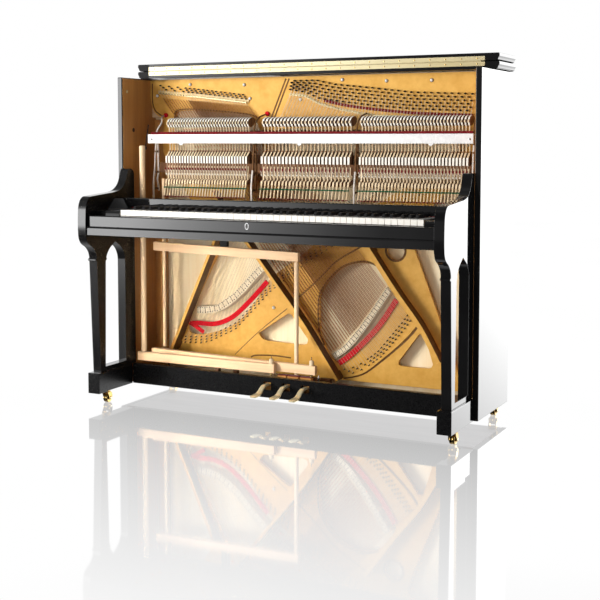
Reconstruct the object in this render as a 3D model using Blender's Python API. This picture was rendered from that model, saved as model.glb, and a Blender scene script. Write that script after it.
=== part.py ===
"""Upright piano with the front panels off: case, keyboard, action, iron plate, trapwork and casters.

Metres, +Z up, the player sits on the -Y side.  Depths below are counted from the front edge of the
case sides and shifted by MID_DEPTH once, when an object is made, so the origin is the middle of the floor
plan.  Neighbouring pieces are kept apart by GAP.
"""
import math

import bmesh
import bpy

MID_DEPTH = 0.036
GAP = 0.0003

CASE_HALF = 0.760
SIDE_IN = 0.737
SIDE_REAR = 0.356
SIDE_BOTTOM = 0.050
SIDE_TOP = 1.287

ARM_OUT = SIDE_IN - GAP
ARM_IN = 0.700
INNER = ARM_IN - 0.0005
FOOT_TOP = 0.131
FOOT_BOTTOM = 0.0505

LID_HALF = 0.7717
LID_FRONT = 0.162
LID_REAR = 0.371
LID_Z = (1.2885, 1.3170, 1.3185, 1.3465)
HINGE_Z = 1.31775

KEY_LEFT = -0.585
KEY_RIGHT = 0.640
NATURALS = 52
KEY_FRONT = -0.235
KEY_REAR = 0.070
SHARP_FRONT = -0.1835
SHARP_REAR = -0.084
KEY_TOP = 0.771
KEY_BOTTOM = 0.7495
SHARP_TOP = 0.783
KEY_PIVOT = (0.019, 0.749)
SECTION_NATURALS = {"bass": (0, 18), "tenor": (18, 35), "treble": (35, 52)}
# a natural counts up from A; the value is how far its right-hand sharp sits off the joint line
SHARP_OFFSET = {0: 0.0035, 2: -0.0028, 3: 0.0028, 5: -0.0035, 6: 0.0}

SECTION_X = {"bass": (-0.588, -0.208, 30), "tenor": (-0.152, 0.230, 25), "treble": (0.262, 0.690, 33)}
WHIPPEN_PIVOT = (0.116, 0.900)
HAMMER_PIVOT = (0.105, 0.956)
DAMPER_PIVOT = (0.155, 0.968)

PLATE_Y = (0.200, 0.212)
RIB_FRONT = 0.140
RIB_REAR = 0.1875
BASS_STRING_Y = (0.1885, 0.1893)
PLAIN_STRING_Y = (0.1910, 0.1918)

PEDAL_X = {"left": -0.0815, "middle": 0.0, "right": 0.0815}
PEDAL_PIVOT = (0.160, 0.094)
LEVER_SOFT_PIVOT = (-0.320, 0.159)
LEVER_SUSTAIN_PIVOT = (-0.250, 0.166)
LEVER_MUTE_PIVOT = (-0.315, 0.598)

CASTERS = {
    "front_left": (-0.7200, -0.155),
    "front_right": (0.7200, -0.155),
    "rear_left": (-0.7150, 0.318),
    "rear_right": (0.7150, 0.318),
}
WHEEL_R = 0.0178
WHEEL_TRAIL = 0.009

BLACK = ((0.012, 0.012, 0.013), 0.08, 0.0)
VENEER = ((0.33, 0.17, 0.07), 0.45, 0.0)
BRASS = ((0.78, 0.58, 0.24), 0.22, 1.0)
BEECH = ((0.78, 0.58, 0.38), 0.5, 0.0)
SPRUCE = ((0.86, 0.70, 0.45), 0.5, 0.0)
IRON_GOLD = ((0.72, 0.50, 0.18), 0.38, 0.7)
STEEL = ((0.75, 0.75, 0.76), 0.25, 1.0)
SILVER = ((0.86, 0.86, 0.87), 0.35, 1.0)
COPPER = ((0.62, 0.33, 0.20), 0.35, 1.0)
IVORY = ((0.93, 0.92, 0.88), 0.12, 0.0)
EBONY = ((0.02, 0.02, 0.02), 0.25, 0.0)
FELT_WHITE = ((0.90, 0.88, 0.82), 0.95, 0.0)
FELT_DARK = ((0.35, 0.30, 0.26), 0.95, 0.0)


def clear_scene():
    """Empty the file of every object."""
    for old in list(bpy.data.objects):
        bpy.data.objects.remove(old, do_unlink=True)


def finish_of(name, look):
    """One Principled material per object."""
    colour, roughness, metallic = look
    mat = bpy.data.materials.new("mat_" + name)
    mat.use_nodes = True
    shader = mat.node_tree.nodes["Principled BSDF"]
    shader.inputs["Base Color"].default_value = (*colour, 1.0)
    shader.inputs["Roughness"].default_value = roughness
    shader.inputs["Metallic"].default_value = metallic
    mat.diffuse_color = (*colour, 1.0)
    return mat


def tidy(bm):
    """Make the shell face outward."""
    bmesh.ops.recalc_face_normals(bm, faces=bm.faces)
    return bm


def place(outline, axis, low, high):
    """Corner points of a flat outline pushed along one axis."""
    def corner(a, b, c):
        if axis == "x":
            return (c, a, b)
        if axis == "y":
            return (a, c, b)
        return (a, b, c)
    return [corner(a, b, low) for a, b in outline], [corner(a, b, high) for a, b in outline]


def add_prism(bm, outline, axis, low, high):
    """Add a closed prism: outline in (y, z) for x, (x, z) for y, (x, y) for z."""
    near, far = place(outline, axis, low, high)
    ring_a = [bm.verts.new(p) for p in near]
    ring_b = [bm.verts.new(p) for p in far]
    bm.faces.new(ring_a)
    bm.faces.new(list(reversed(ring_b)))
    count = len(outline)
    for i in range(count):
        j = (i + 1) % count
        bm.faces.new((ring_a[i], ring_b[i], ring_b[j], ring_a[j]))


def add_box(bm, x, y, z):
    """Add a closed box from three ranges."""
    add_prism(bm, [(x[0], y[0]), (x[1], y[0]), (x[1], y[1]), (x[0], y[1])], "z", z[0], z[1])


def circle(centre, radius, steps, start=0.0):
    """Points round a circle."""
    points = []
    for i in range(steps):
        turn = start + 2 * math.pi * i / steps
        points.append((centre[0] + radius * math.cos(turn), centre[1] + radius * math.sin(turn)))
    return points


def band(path, width):
    """Outline of a strip of constant width that follows a path."""
    left, right = [], []
    for i, (x, z) in enumerate(path):
        x0, z0 = path[max(i - 1, 0)]
        x1, z1 = path[min(i + 1, len(path) - 1)]
        run, rise = x1 - x0, z1 - z0
        size = math.hypot(run, rise)
        nx, nz = -rise / size * width / 2, run / size * width / 2
        left.append((x + nx, z + nz))
        right.append((x - nx, z - nz))
    return left + right[::-1]


def rounded(points, straight, closed=True, corner=0.9, steps=4):
    """Bend an outline through its points; long sides and sharp corners stay as they are."""
    count = len(points)
    sides = count if closed else count - 1
    run = []
    for i in range(sides):
        (x0, z0), (x1, z1) = points[i], points[(i + 1) % count]
        size = math.hypot(x1 - x0, z1 - z0)
        run.append(((x1 - x0) / size, (z1 - z0) / size, size))
    arrive, leave = {}, {}
    for i in range(count):
        before = run[i - 1] if closed or i > 0 else run[0]
        after = run[i] if i < sides else run[-1]
        bend = math.acos(max(-1.0, min(1.0, before[0] * after[0] + before[1] * after[1])))
        if bend > corner:
            arrive[i], leave[i] = before, after
            continue
        if before[2] > straight:
            way = before
        elif after[2] > straight:
            way = after
        else:
            size = math.hypot(before[0] + after[0], before[1] + after[1])
            way = ((before[0] + after[0]) / size, (before[1] + after[1]) / size)
        arrive[i] = leave[i] = way
    result = []
    for i in range(sides):
        j = (i + 1) % count
        (x0, z0), (x1, z1) = points[i], points[j]
        size = run[i][2]
        for s in range(steps if size <= straight else 1):
            t = s / steps
            a, b, c, d = 2 * t ** 3 - 3 * t ** 2 + 1, t ** 3 - 2 * t ** 2 + t, 3 * t ** 2 - 2 * t ** 3, t ** 3 - t ** 2
            result.append((a * x0 + b * size * leave[i][0] + c * x1 + d * size * arrive[j][0],
                           a * z0 + b * size * leave[i][1] + c * z1 + d * size * arrive[j][1]))
    if not closed:
        result.append(points[-1])
    return result


def shell(build):
    """Run a builder on a fresh bmesh and return it."""
    bm = bmesh.new()
    build(bm)
    return tidy(bm)


def bm_object(name, bm):
    """Turn a bmesh into a loose object at the world origin."""
    mesh = bpy.data.meshes.new(name)
    bm.to_mesh(mesh)
    bm.free()
    obj = bpy.data.objects.new(name, mesh)
    bpy.context.scene.collection.objects.link(obj)
    return obj


def combine(obj, tool, operation):
    """Exact boolean, kept as plain mesh."""
    mod = obj.modifiers.new("cut", "BOOLEAN")
    mod.operation = operation
    mod.solver = "EXACT"
    mod.object = tool
    tool.hide_render = True
    tool.display_type = "WIRE"
    graph = bpy.context.evaluated_depsgraph_get()
    result = bpy.data.meshes.new_from_object(obj.evaluated_get(graph))
    obj.modifiers.clear()
    old = obj.data
    obj.data = result
    bpy.data.meshes.remove(old)
    bpy.data.objects.remove(tool, do_unlink=True)


def make(name, look, build, cuts=(), joins=(), pivot=None):
    """Build one sub-part.  pivot is in the same depth count as everything else."""
    obj = bm_object(name, shell(build))
    for i, hole in enumerate(cuts):
        combine(obj, bm_object(name + "_c%d" % i, shell(hole)), "DIFFERENCE")
    for i, extra in enumerate(joins):
        combine(obj, bm_object(name + "_j%d" % i, shell(extra)), "UNION")
    px, py, pz = pivot or (0.0, MID_DEPTH, 0.0)
    for vert in obj.data.vertices:
        vert.co.x -= px
        vert.co.y -= py
        vert.co.z -= pz
    obj.location = (px, py - MID_DEPTH, pz)
    obj.data.shade_smooth()
    obj.data.set_sharp_from_angle(angle=0.6)
    obj.data.materials.clear()
    obj.data.materials.append(finish_of(name, look))
    return obj


def prism(outline, axis, low, high):
    """Builder for one prism."""
    return lambda bm: add_prism(bm, outline, axis, low, high)


def box(x, y, z):
    """Builder for one box."""
    return lambda bm: add_box(bm, x, y, z)


def boxes(items):
    """Builder for several loose boxes."""
    def run(bm):
        for x, y, z in items:
            add_box(bm, x, y, z)
    return run


ARM_OUTLINE = [
    (0.0235, 0.1313), (0.0235, 0.900), (0.019, 0.911), (0.010, 0.9185), (-0.002, 0.922), (-0.0155, 0.9195),
    (-0.0185, 0.915), (-0.027, 0.8945), (-0.036, 0.8735), (-0.046, 0.859), (-0.060, 0.8475),
    (-0.0785, 0.8385), (-0.099, 0.8338), (-0.140, 0.8303), (-0.2596, 0.8218), (-0.277, 0.8155),
    (-0.2885, 0.803), (-0.2965, 0.782), (-0.299, 0.760), (-0.299, 0.676), (-0.2955, 0.659),
    (-0.287, 0.6445), (-0.274, 0.6345), (-0.2595, 0.6265), (-0.247, 0.6155), (-0.238, 0.603),
    (-0.233, 0.588), (-0.232, 0.5805), (-0.240, 0.577), (-0.240, 0.572), (-0.2315, 0.5685), (-0.2135, 0.1313),
]
LANCET = [
    (-0.182, 0.150), (-0.045, 0.150), (-0.045, 0.560), (-0.048, 0.578), (-0.057, 0.597), (-0.071, 0.613),
    (-0.091, 0.626), (-0.110, 0.638), (-0.127, 0.626), (-0.146, 0.613), (-0.160, 0.597), (-0.170, 0.580),
    (-0.166, 0.575), (-0.166, 0.571), (-0.1735, 0.567),
]

PLATE_OUTLINE = [
    (-0.735, 1.283), (0.735, 1.283), (0.735, 1.000), (0.560, 0.840), (0.420, 0.700), (0.442, 0.624),
    (0.546, 0.359), (0.590, 0.250), (0.640, 0.105), (-0.665, 0.105), (-0.645, 0.178), (-0.427, 0.625),
    (-0.470, 0.690), (-0.660, 0.950), (-0.672, 1.122), (-0.690, 1.133), (-0.708, 1.144), (-0.722, 1.160),
    (-0.733, 1.190),
]
PLATE_HOLES = {
    "tenor": [
        (-0.400, 0.600), (-0.535, 0.345), (-0.562, 0.262), (-0.550, 0.240), (-0.520, 0.235), (-0.440, 0.248),
        (-0.326, 0.297), (-0.245, 0.383), (-0.178, 0.478), (-0.030, 0.585), (0.100, 0.690), (0.350, 0.830),
        (0.600, 0.970), (0.665, 1.030), (0.655, 1.065), (0.450, 1.050), (0.250, 1.045), (0.000, 1.080),
        (-0.130, 1.080), (-0.140, 0.800), (-0.300, 0.660),
    ],
    "upper_bass": [
        (-0.611, 1.152), (-0.559, 1.157), (-0.386, 1.146), (-0.262, 1.133), (-0.228, 1.100), (-0.205, 1.000),
        (-0.205, 0.900), (-0.360, 0.870), (-0.520, 0.920), (-0.600, 0.990), (-0.625, 1.050),
    ],
    "round": [
        (0.047, 0.299), (0.047, 0.414), (0.065, 0.458), (0.097, 0.500), (0.145, 0.542), (0.202, 0.563),
        (0.250, 0.566), (0.298, 0.549), (0.345, 0.500), (0.372, 0.455), (0.360, 0.410), (0.311, 0.335),
        (0.250, 0.260), (0.181, 0.200), (0.130, 0.168), (0.100, 0.185), (0.068, 0.240),
    ],
    "left_triangle": [
        (-0.225, 0.262), (-0.213, 0.243), (-0.185, 0.233), (-0.030, 0.228), (-0.008, 0.235), (-0.006, 0.255),
        (-0.078, 0.345), (-0.092, 0.350),
    ],
    "right_triangle": [
        (0.471, 0.312), (0.484, 0.305), (0.517, 0.200), (0.513, 0.186), (0.498, 0.180), (0.392, 0.180),
        (0.379, 0.186), (0.380, 0.198), (0.460, 0.305),
    ],
    "ring": circle((0.365, 0.620), 0.036, 20),
}
RIBS = {
    "left": ([(-0.392, 0.640), (-0.606, 0.170)], 0.012),
    "middle": ([(-0.412, 0.830), (-0.043, 0.380), (0.150, 0.112)], 0.012),
    "right": ([(0.266, 0.640), (0.395, 0.460), (0.485, 0.345), (0.560, 0.215)], 0.018),
}


def build_case():
    """Sides, arms with their lancet legs, feet."""
    for tag, side in (("left", -1), ("right", 1)):
        def span(a, b):
            return tuple(sorted((side * a, side * b)))
        make("case_side_" + tag, BLACK,
             box(span(SIDE_IN, CASE_HALF), (0.0, SIDE_REAR), (SIDE_BOTTOM, SIDE_TOP)))
        lo, hi = span(ARM_IN, ARM_OUT)
        make("arm_" + tag, BLACK, prism(rounded(ARM_OUTLINE, 0.09), "x", lo, hi),
             cuts=[prism(rounded(LANCET, 0.09), "x", lo - 0.01, hi + 0.01)])
        plan = [(0.692, -0.238), (0.745, -0.238), (0.745, -0.0006), (0.700, -0.0006), (0.700, -0.178),
                (0.692, -0.178)]
        plan = [(side * x, y) for x, y in plan]
        make("foot_" + tag, BLACK, prism(plan, "z", FOOT_BOTTOM, FOOT_TOP))
    slots = [((x - 0.0175, x + 0.0175), (-0.01, 0.03), (0.082, 0.1125)) for x in PEDAL_X.values()]
    make("bottom_rail", BLACK, box((-INNER, INNER), (0.0, 0.022), (0.0515, FOOT_TOP)),
         cuts=[boxes(slots)])
    blocks = [
        ((-0.328, -0.312), (0.026, 0.046), (0.060, 0.1395)),
        ((-0.258, -0.242), (0.050, 0.070), (0.060, 0.1455)),
    ]
    # the pedals' rear bearing block
    blocks.append(((-0.110, 0.110), (0.166, 0.186), (0.060, 0.110)))
    make("bottom_board", BEECH, box((-0.7365, 0.7365), (0.0225, 0.352), (0.0510, 0.0730)),
         joins=[boxes(blocks)])


def lid_outline(low, high):
    """Board seen from the front, with moulded ends."""
    half = LID_HALF
    mid = (low + high) / 2
    return [
        (-half + 0.014, low), (half - 0.014, low), (half - 0.006, low + 0.004), (half - 0.004, mid - 0.003),
        (half, mid + 0.002), (half, high - 0.003), (half - 0.003, high), (-half + 0.003, high),
        (-half, high - 0.003), (-half, mid + 0.002), (-half + 0.004, mid - 0.003), (-half + 0.006, low + 0.004),
    ]


def build_lid():
    """Rear lid board, front board folded back on it, piano hinge."""
    make("lid_rear", BLACK, prism(lid_outline(LID_Z[0], LID_Z[1]), "y", LID_FRONT, LID_REAR))
    make("lid_front", BLACK, prism(lid_outline(LID_Z[2], LID_Z[3]), "y", LID_FRONT, LID_REAR - 0.004),
         pivot=(0.0, LID_FRONT - 0.002, HINGE_Z))
    make("lid_hinge", BRASS,
         box((-0.717, 0.718), (LID_FRONT - 0.0015, LID_FRONT - 0.0003), (1.3008, 1.3165)),
         joins=[prism(circle((LID_FRONT - 0.002, HINGE_Z), 0.0018, 12), "x", -0.716, 0.717)])


def build_keyboard():
    """Key bed with its rails, key slip, end blocks, nameboard."""
    bed = [
        (-0.2945, 0.676), (-0.2945, 0.7025), (-0.2900, 0.7075), (0.008, 0.7075), (0.008, 0.7490),
        (0.030, 0.7490), (0.030, 0.7075), (0.092, 0.7075), (0.092, 0.676),
    ]
    make("key_bed", BLACK, prism(bed, "x", -INNER, INNER),
         joins=[box((-0.331, -0.299), (0.075, 0.091), (0.6165, 0.690))],
         cuts=[prism(circle((-0.668, 0.036), 0.0150, 20), "z", 0.60, 0.80)])
    slip = [(-0.286, 0.7078), (-0.286, 0.747), (-0.283, 0.750), (-0.269, 0.750), (-0.266, 0.747),
            (-0.266, 0.7078)]
    make("key_slip", BLACK, prism(slip, "x", -INNER, INNER))
    block = [(-0.236, 0.7078), (-0.236, 0.757), (-0.233, 0.763), (-0.227, 0.7665), (-0.218, 0.768),
             (-0.0825, 0.768), (-0.0825, 0.7078)]
    wedge_low = [(0.6995, -0.160), (0.6995, -0.0825), (0.644, -0.0825)]
    wedge_high = [(0.6995, -0.118), (0.6995, -0.0825), (0.6805, -0.0825)]
    for tag, side, inner in (("left", -1, -(KEY_LEFT - 0.0035)), ("right", 1, KEY_RIGHT + 0.0035)):
        lo, hi = sorted((side * INNER, side * inner))

        def wedge(bm, side=side, inner=inner):
            base = max(inner, 0.645)
            ring_a = [bm.verts.new((side * max(x, base), y, 0.766)) for x, y in wedge_low]
            ring_b = [bm.verts.new((side * max(x, base), y, 0.807)) for x, y in wedge_high]
            bm.faces.new(ring_a)
            bm.faces.new(list(reversed(ring_b)))
            for i in range(3):
                j = (i + 1) % 3
                bm.faces.new((ring_a[i], ring_b[i], ring_b[j]))
                bm.faces.new((ring_a[i], ring_b[j], ring_a[j]))
        make("key_block_" + tag, BLACK, prism(block, "x", lo, hi), joins=[wedge])
    board = [(-0.0820, 0.7735), (-0.0820, 0.8070), (-0.0800, 0.8090), (-0.0640, 0.8090), (-0.0640, 0.7735)]
    make("nameboard", BLACK, prism(board, "x", -INNER, INNER))


def sharp_centres():
    """Centre line of every sharp, keyed by the natural on its left."""
    pitch = (KEY_RIGHT - KEY_LEFT) / NATURALS
    found = {}
    for i in range(NATURALS - 1):
        offset = SHARP_OFFSET.get(i % 7)
        if offset is not None:
            found[i] = KEY_LEFT + (i + 1) * pitch + offset
    return found


def build_keys():
    """Three keyboard sections, each with its naturals and its sharps."""
    pitch = (KEY_RIGHT - KEY_LEFT) / NATURALS
    sharps = sharp_centres()
    slot = 0.0070
    for name, (first, last) in SECTION_NATURALS.items():
        left = KEY_LEFT + first * pitch + 0.0004
        right = KEY_LEFT + last * pitch - 0.0004
        outline = [(left, KEY_FRONT)]
        for i in range(first, last - 1):
            joint = KEY_LEFT + (i + 1) * pitch
            end = SHARP_FRONT - 0.0075 if i in sharps else 0.050
            outline += [(joint - 0.0005, KEY_FRONT), (joint - 0.0005, end), (joint + 0.0005, end),
                        (joint + 0.0005, KEY_FRONT)]
        outline.append((right, KEY_FRONT))
        if last - 1 in sharps:
            edge = sharps[last - 1] - slot
            outline += [(right, SHARP_FRONT - 0.0015), (edge, SHARP_FRONT - 0.0015), (edge, KEY_REAR)]
        else:
            outline.append((right, KEY_REAR))
        for i in range(last - 2, first - 1, -1):
            if i in sharps:
                a, b = sharps[i] + slot, sharps[i] - slot
                outline += [(a, KEY_REAR), (a, SHARP_FRONT - 0.0015), (b, SHARP_FRONT - 0.0015), (b, KEY_REAR)]
        if first - 1 in sharps:
            edge = sharps[first - 1] + slot
            outline += [(edge, KEY_REAR), (edge, SHARP_FRONT - 0.0015), (left, SHARP_FRONT - 0.0015)]
        else:
            outline.append((left, KEY_REAR))
        make("naturals_" + name, IVORY, prism(outline, "z", KEY_BOTTOM, KEY_TOP),
             pivot=(0.0, KEY_PIVOT[0], KEY_PIVOT[1]))
        own = [sharps[i] for i in range(first, last) if i in sharps]
        if name == "tenor":
            own = [sharps[first - 1]] + own if first - 1 in sharps else own
        if name == "bass" and last - 1 in sharps:
            own = own[:-1]
        if name == "tenor" and last - 1 in sharps:
            own = own[:-1]
        if name == "treble" and first - 1 in sharps:
            own = [sharps[first - 1]] + own
        comb = [(own[0] - 0.0055, 0.7400), (own[-1] + 0.0055, 0.7400)]
        for x in reversed(own):
            comb += [(x + 0.0055, SHARP_TOP - 0.003), (x + 0.0042, SHARP_TOP), (x - 0.0042, SHARP_TOP),
                     (x - 0.0055, SHARP_TOP - 0.003)]
            if x != own[0]:
                comb.append((x - 0.0055, 0.7480))
                comb.append((own[own.index(x) - 1] + 0.0055, 0.7480))
        make("sharps_" + name, EBONY, prism(comb, "y", SHARP_FRONT, SHARP_REAR),
             pivot=(0.0, KEY_PIVOT[0], KEY_PIVOT[1]))


def comb_outline(x_low, x_high, count, bar, tip, half):
    """Front view of a row of fingers on a bar; tip may be above or below the bar."""
    pitch = (x_high - x_low) / count
    centres = [x_low + (i + 0.5) * pitch for i in range(count)]
    near, far = (bar[1], bar[0]) if tip > bar[1] else (bar[0], bar[1])
    outline = [(x_low, far), (x_low, near)]
    for x in centres:
        outline += [(x - half, near), (x - half, tip), (x + half, tip), (x + half, near)]
    outline += [(x_high, near), (x_high, far)]
    return outline, centres


def build_action():
    """Whippens, hammers, dampers, rails and brackets."""
    head = [(0.087, 1.094), (0.134, 1.097), (0.147, 1.103), (0.150, 1.110), (0.146, 1.118), (0.132, 1.127),
            (0.087, 1.116)]
    for name, (low, high, count) in SECTION_X.items():
        outline, centres = comb_outline(low, high, count, (0.868, 0.890), 0.812, 0.0036)
        make("whippens_" + name, BEECH, prism(outline, "y", 0.083, 0.111),
             pivot=(0.0, WHIPPEN_PIVOT[0], WHIPPEN_PIVOT[1]))
        outline, centres = comb_outline(low, high, count, (0.943, 0.972), 1.100, 0.0030)

        def heads(bm, centres=centres):
            for x in centres:
                add_prism(bm, head, "x", x - 0.0048, x + 0.0048)
        make("hammers_" + name, FELT_WHITE, prism(outline, "y", 0.0990, 0.1110), joins=[heads],
             pivot=(0.0, HAMMER_PIVOT[0], HAMMER_PIVOT[1]))
    outline, centres = comb_outline(-0.588, 0.480, 76, (0.960, 0.974), 1.074, 0.0045)
    make("dampers", FELT_DARK, prism(outline, "y", 0.1500, 0.1600),
         pivot=(0.0, DAMPER_PIVOT[0], DAMPER_PIVOT[1]))
    make("action_rail", BEECH, box((-0.650, 0.706), (0.1190, 0.1400), (0.905, 0.945)))
    make("hammer_rail", SILVER, box((-0.669, 0.706), (0.078, 0.090), (1.023, 1.059)))
    path = [(0.080, 0.7085), (0.080, 0.848), (0.087, 0.860), (0.100, 0.880), (0.1085, 0.911), (0.1085, 0.966),
            (0.1065, 1.005), (0.1065, 1.060), (0.116, 1.092), (0.140, 1.115), (0.185, 1.136)]
    for i, x in enumerate((-0.644, -0.190, 0.246, 0.701)):
        make("action_bracket_%d" % (i + 1), SILVER, prism(band(path, 0.010), "x", x - 0.0035, x + 0.0035))


def build_instrument():
    """Back frame, pin block, soundboard, plate, bridges and string bands."""
    posts = []
    for i in range(4):
        left = -0.700 + 0.350 * i + 0.0365
        posts.append(((left, left + 0.277), (0.24, 0.37), (0.170, 1.195)))
    make("back_frame", SPRUCE, box((-0.7365, 0.7365), (0.256, 0.350), (0.0735, 1.2870)), cuts=[boxes(posts)])
    make("pin_block", BEECH, box((-0.7365, 0.7365), (0.2125, 0.2555), (1.130, 1.2870)))
    make("soundboard", SPRUCE, box((-0.7365, 0.7365), (0.240, 0.248), (0.0735, 1.1295)))
    ribs = []
    for path, width in RIBS.values():
        ribs.append(prism(band(rounded(path, 0.5, closed=False), width), "y", RIB_FRONT, RIB_REAR))
        for point, other in ((path[0], path[1]), (path[-1], path[-2])):
            size = math.hypot(other[0] - point[0], other[1] - point[1])
            near, far = (tuple(p + (o - p) * run / size for p, o in zip(point, other)) for run in (0.004, 0.034))
            ribs.append(prism(band([near, far], width * 0.8), "y", RIB_REAR - 0.012, PLATE_Y[0] + 0.004))
    holes = []
    for name, hole in PLATE_HOLES.items():
        if name != "ring":
            hole = rounded(hole, 0.26 if name in ("tenor", "upper_bass") else 0.10)
        holes.append(prism(hole, "y", PLATE_Y[0] - 0.005, PLATE_Y[1] + 0.005))
    make("plate", IRON_GOLD, prism(rounded(PLATE_OUTLINE, 0.2), "y", *PLATE_Y), cuts=holes, joins=ribs)
    treble = [(-0.512, 0.338), (-0.470, 0.340), (-0.410, 0.352), (-0.330, 0.405), (-0.220, 0.515),
              (-0.050, 0.650), (0.150, 0.775), (0.350, 0.885), (0.520, 0.965), (0.612, 1.015)]
    make("bridge_treble", BEECH, prism(band(rounded(treble, 0.5, closed=False), 0.030), "y", 0.1935, 0.2395))
    bass = [(0.112, 0.196), (0.165, 0.235), (0.228, 0.308), (0.290, 0.395), (0.342, 0.472)]
    make("bridge_bass", BEECH, prism(band(rounded(bass, 0.5, closed=False), 0.024), "y", 0.1935, 0.2395))
    make("strings_bass", COPPER,
         prism([(-0.690, 1.222), (-0.272, 1.180), (0.408, 0.385), (0.338, 0.262), (0.229, 0.168),
                (0.150, 0.152)], "y", *BASS_STRING_Y))
    make("strings_plain", STEEL,
         prism([(-0.092, 1.212), (-0.016, 1.205), (0.050, 1.175), (0.148, 1.150), (0.276, 1.126),
                (0.664, 1.120), (0.640, 1.020), (0.350, 0.860), (0.100, 0.720), (-0.040, 0.600),
                (-0.180, 0.462), (-0.326, 0.300), (-0.440, 0.240), (-0.566, 0.222), (-0.535, 0.345),
                (-0.375, 0.600)],
               "y", *PLAIN_STRING_Y))


def build_trapwork():
    """Pedals, levers and dowels."""
    pedal = [
        (0.164, 0.100), (0.030, 0.106), (-0.016, 0.107), (-0.034, 0.1035), (-0.048, 0.095), (-0.060, 0.086),
        (-0.074, 0.0815), (-0.108, 0.080), (-0.1155, 0.0775), (-0.1155, 0.074), (-0.108, 0.0715),
        (-0.076, 0.0735), (-0.058, 0.078), (-0.044, 0.087), (-0.031, 0.0945), (-0.016, 0.0975), (0.030, 0.0965),
        (0.164, 0.088),
    ]
    for tag, x in PEDAL_X.items():
        make("pedal_" + tag, BRASS, prism(rounded(pedal, 0.05), "x", x - 0.0115, x + 0.0115),
             pivot=(x, PEDAL_PIVOT[0], PEDAL_PIVOT[1]))

    def knob(x, y, z_top, z_rod):
        def run(bm):
            add_prism(bm, circle((x, y), 0.0028, 12), "z", z_rod, z_top + 0.030)
        return run

    def nut(x, y, z_top):
        def run(bm):
            add_prism(bm, circle((x, y), 0.0085, 16), "z", z_top - 0.004, z_top + 0.021)
        return run
    make("lever_soft", BEECH, box((-0.694, -0.0645), (0.026, 0.046), (0.1415, 0.1765)),
         joins=[knob(-0.0805, 0.036, 0.1765, 0.1130), nut(-0.0805, 0.036, 0.1765)],
         pivot=(LEVER_SOFT_PIVOT[0], 0.036, LEVER_SOFT_PIVOT[1]))
    make("lever_sustain", BEECH,
         prism([(-0.642, 0.156), (-0.642, 0.191), (0.0995, 0.179), (0.0995, 0.144)], "y", 0.050, 0.070),
         joins=[knob(0.0805, 0.060, 0.179, 0.1130), nut(0.0805, 0.060, 0.179),
                box((-0.632, -0.592), (0.060, 0.114), (0.160, 0.186))],
         pivot=(LEVER_SUSTAIN_PIVOT[0], 0.060, LEVER_SUSTAIN_PIVOT[1]))
    make("lever_mute", BEECH,
         prism([(-0.645, 0.589), (-0.645, 0.6235), (0.0150, 0.6075), (0.0150, 0.572)], "y", 0.073, 0.093),
         pivot=(LEVER_MUTE_PIVOT[0], 0.083, LEVER_MUTE_PIVOT[1]))
    make("dowel_soft", BEECH, prism(circle((-0.668, 0.036), 0.0115, 20), "z", 0.1775, 1.014),
         pivot=(-0.668, 0.036, 0.1775))
    make("dowel_sustain", BEECH, prism(circle((-0.612, 0.104), 0.0070, 16), "z", 0.1925, 0.880),
         pivot=(-0.612, 0.104, 0.1925))
    make("dowel_mute", BEECH, prism(circle((0.004, 0.083), 0.0085, 16), "z", 0.1130, 0.5715),
         pivot=(0.004, 0.083, 0.1130))


def build_casters():
    """Four swivelling brass casters."""
    for tag, (cx, cy) in CASTERS.items():
        top = FOOT_BOTTOM if tag.startswith("front") else 0.0510
        wy = cy + WHEEL_TRAIL
        cheek = [(cy - 0.010, 0.046), (cy + 0.010, 0.046), (wy + 0.010, 0.0270), (wy + 0.0075, 0.0125),
                 (wy, 0.0100), (wy - 0.0075, 0.0125), (wy - 0.011, 0.0230)]

        def plate(bm, cx=cx, cy=cy, top=top):
            add_prism(bm, circle((cx, cy), 0.0150, 20), "z", 0.0400, top - 0.0004)
        sides = [prism(cheek, "x", cx - 0.0125, cx - 0.0090), prism(cheek, "x", cx + 0.0090, cx + 0.0125)]
        axle = prism(circle((wy, WHEEL_R), 0.0030, 12), "x", cx - 0.0120, cx + 0.0120)
        make("caster_fork_" + tag, BRASS, plate, joins=sides + [axle], pivot=(cx, cy, 0.040))
        make("caster_wheel_" + tag, BRASS, prism(circle((wy, WHEEL_R), WHEEL_R, 28, math.pi / 2), "x",
                                                 cx - 0.0080, cx + 0.0080),
             cuts=[prism(circle((wy, WHEEL_R), 0.0034, 12), "x", cx - 0.02, cx + 0.02)],
             pivot=(cx, wy, WHEEL_R))


clear_scene()
build_case()
build_lid()
build_keyboard()
build_keys()
build_action()
build_instrument()
build_trapwork()
build_casters()
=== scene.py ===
"""The looks of an upright piano with its front panels off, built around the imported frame.

Metres, +Z up.  Points are written as (x, depth, z): depth is counted from the front edge of the case sides,
which is where the frame puts DEPTH, and grows towards the back.  Pieces that keep the frame's shape are made
from its meshes; everything too fine for the frame is built here on the same numbers.
"""
import math

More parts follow.
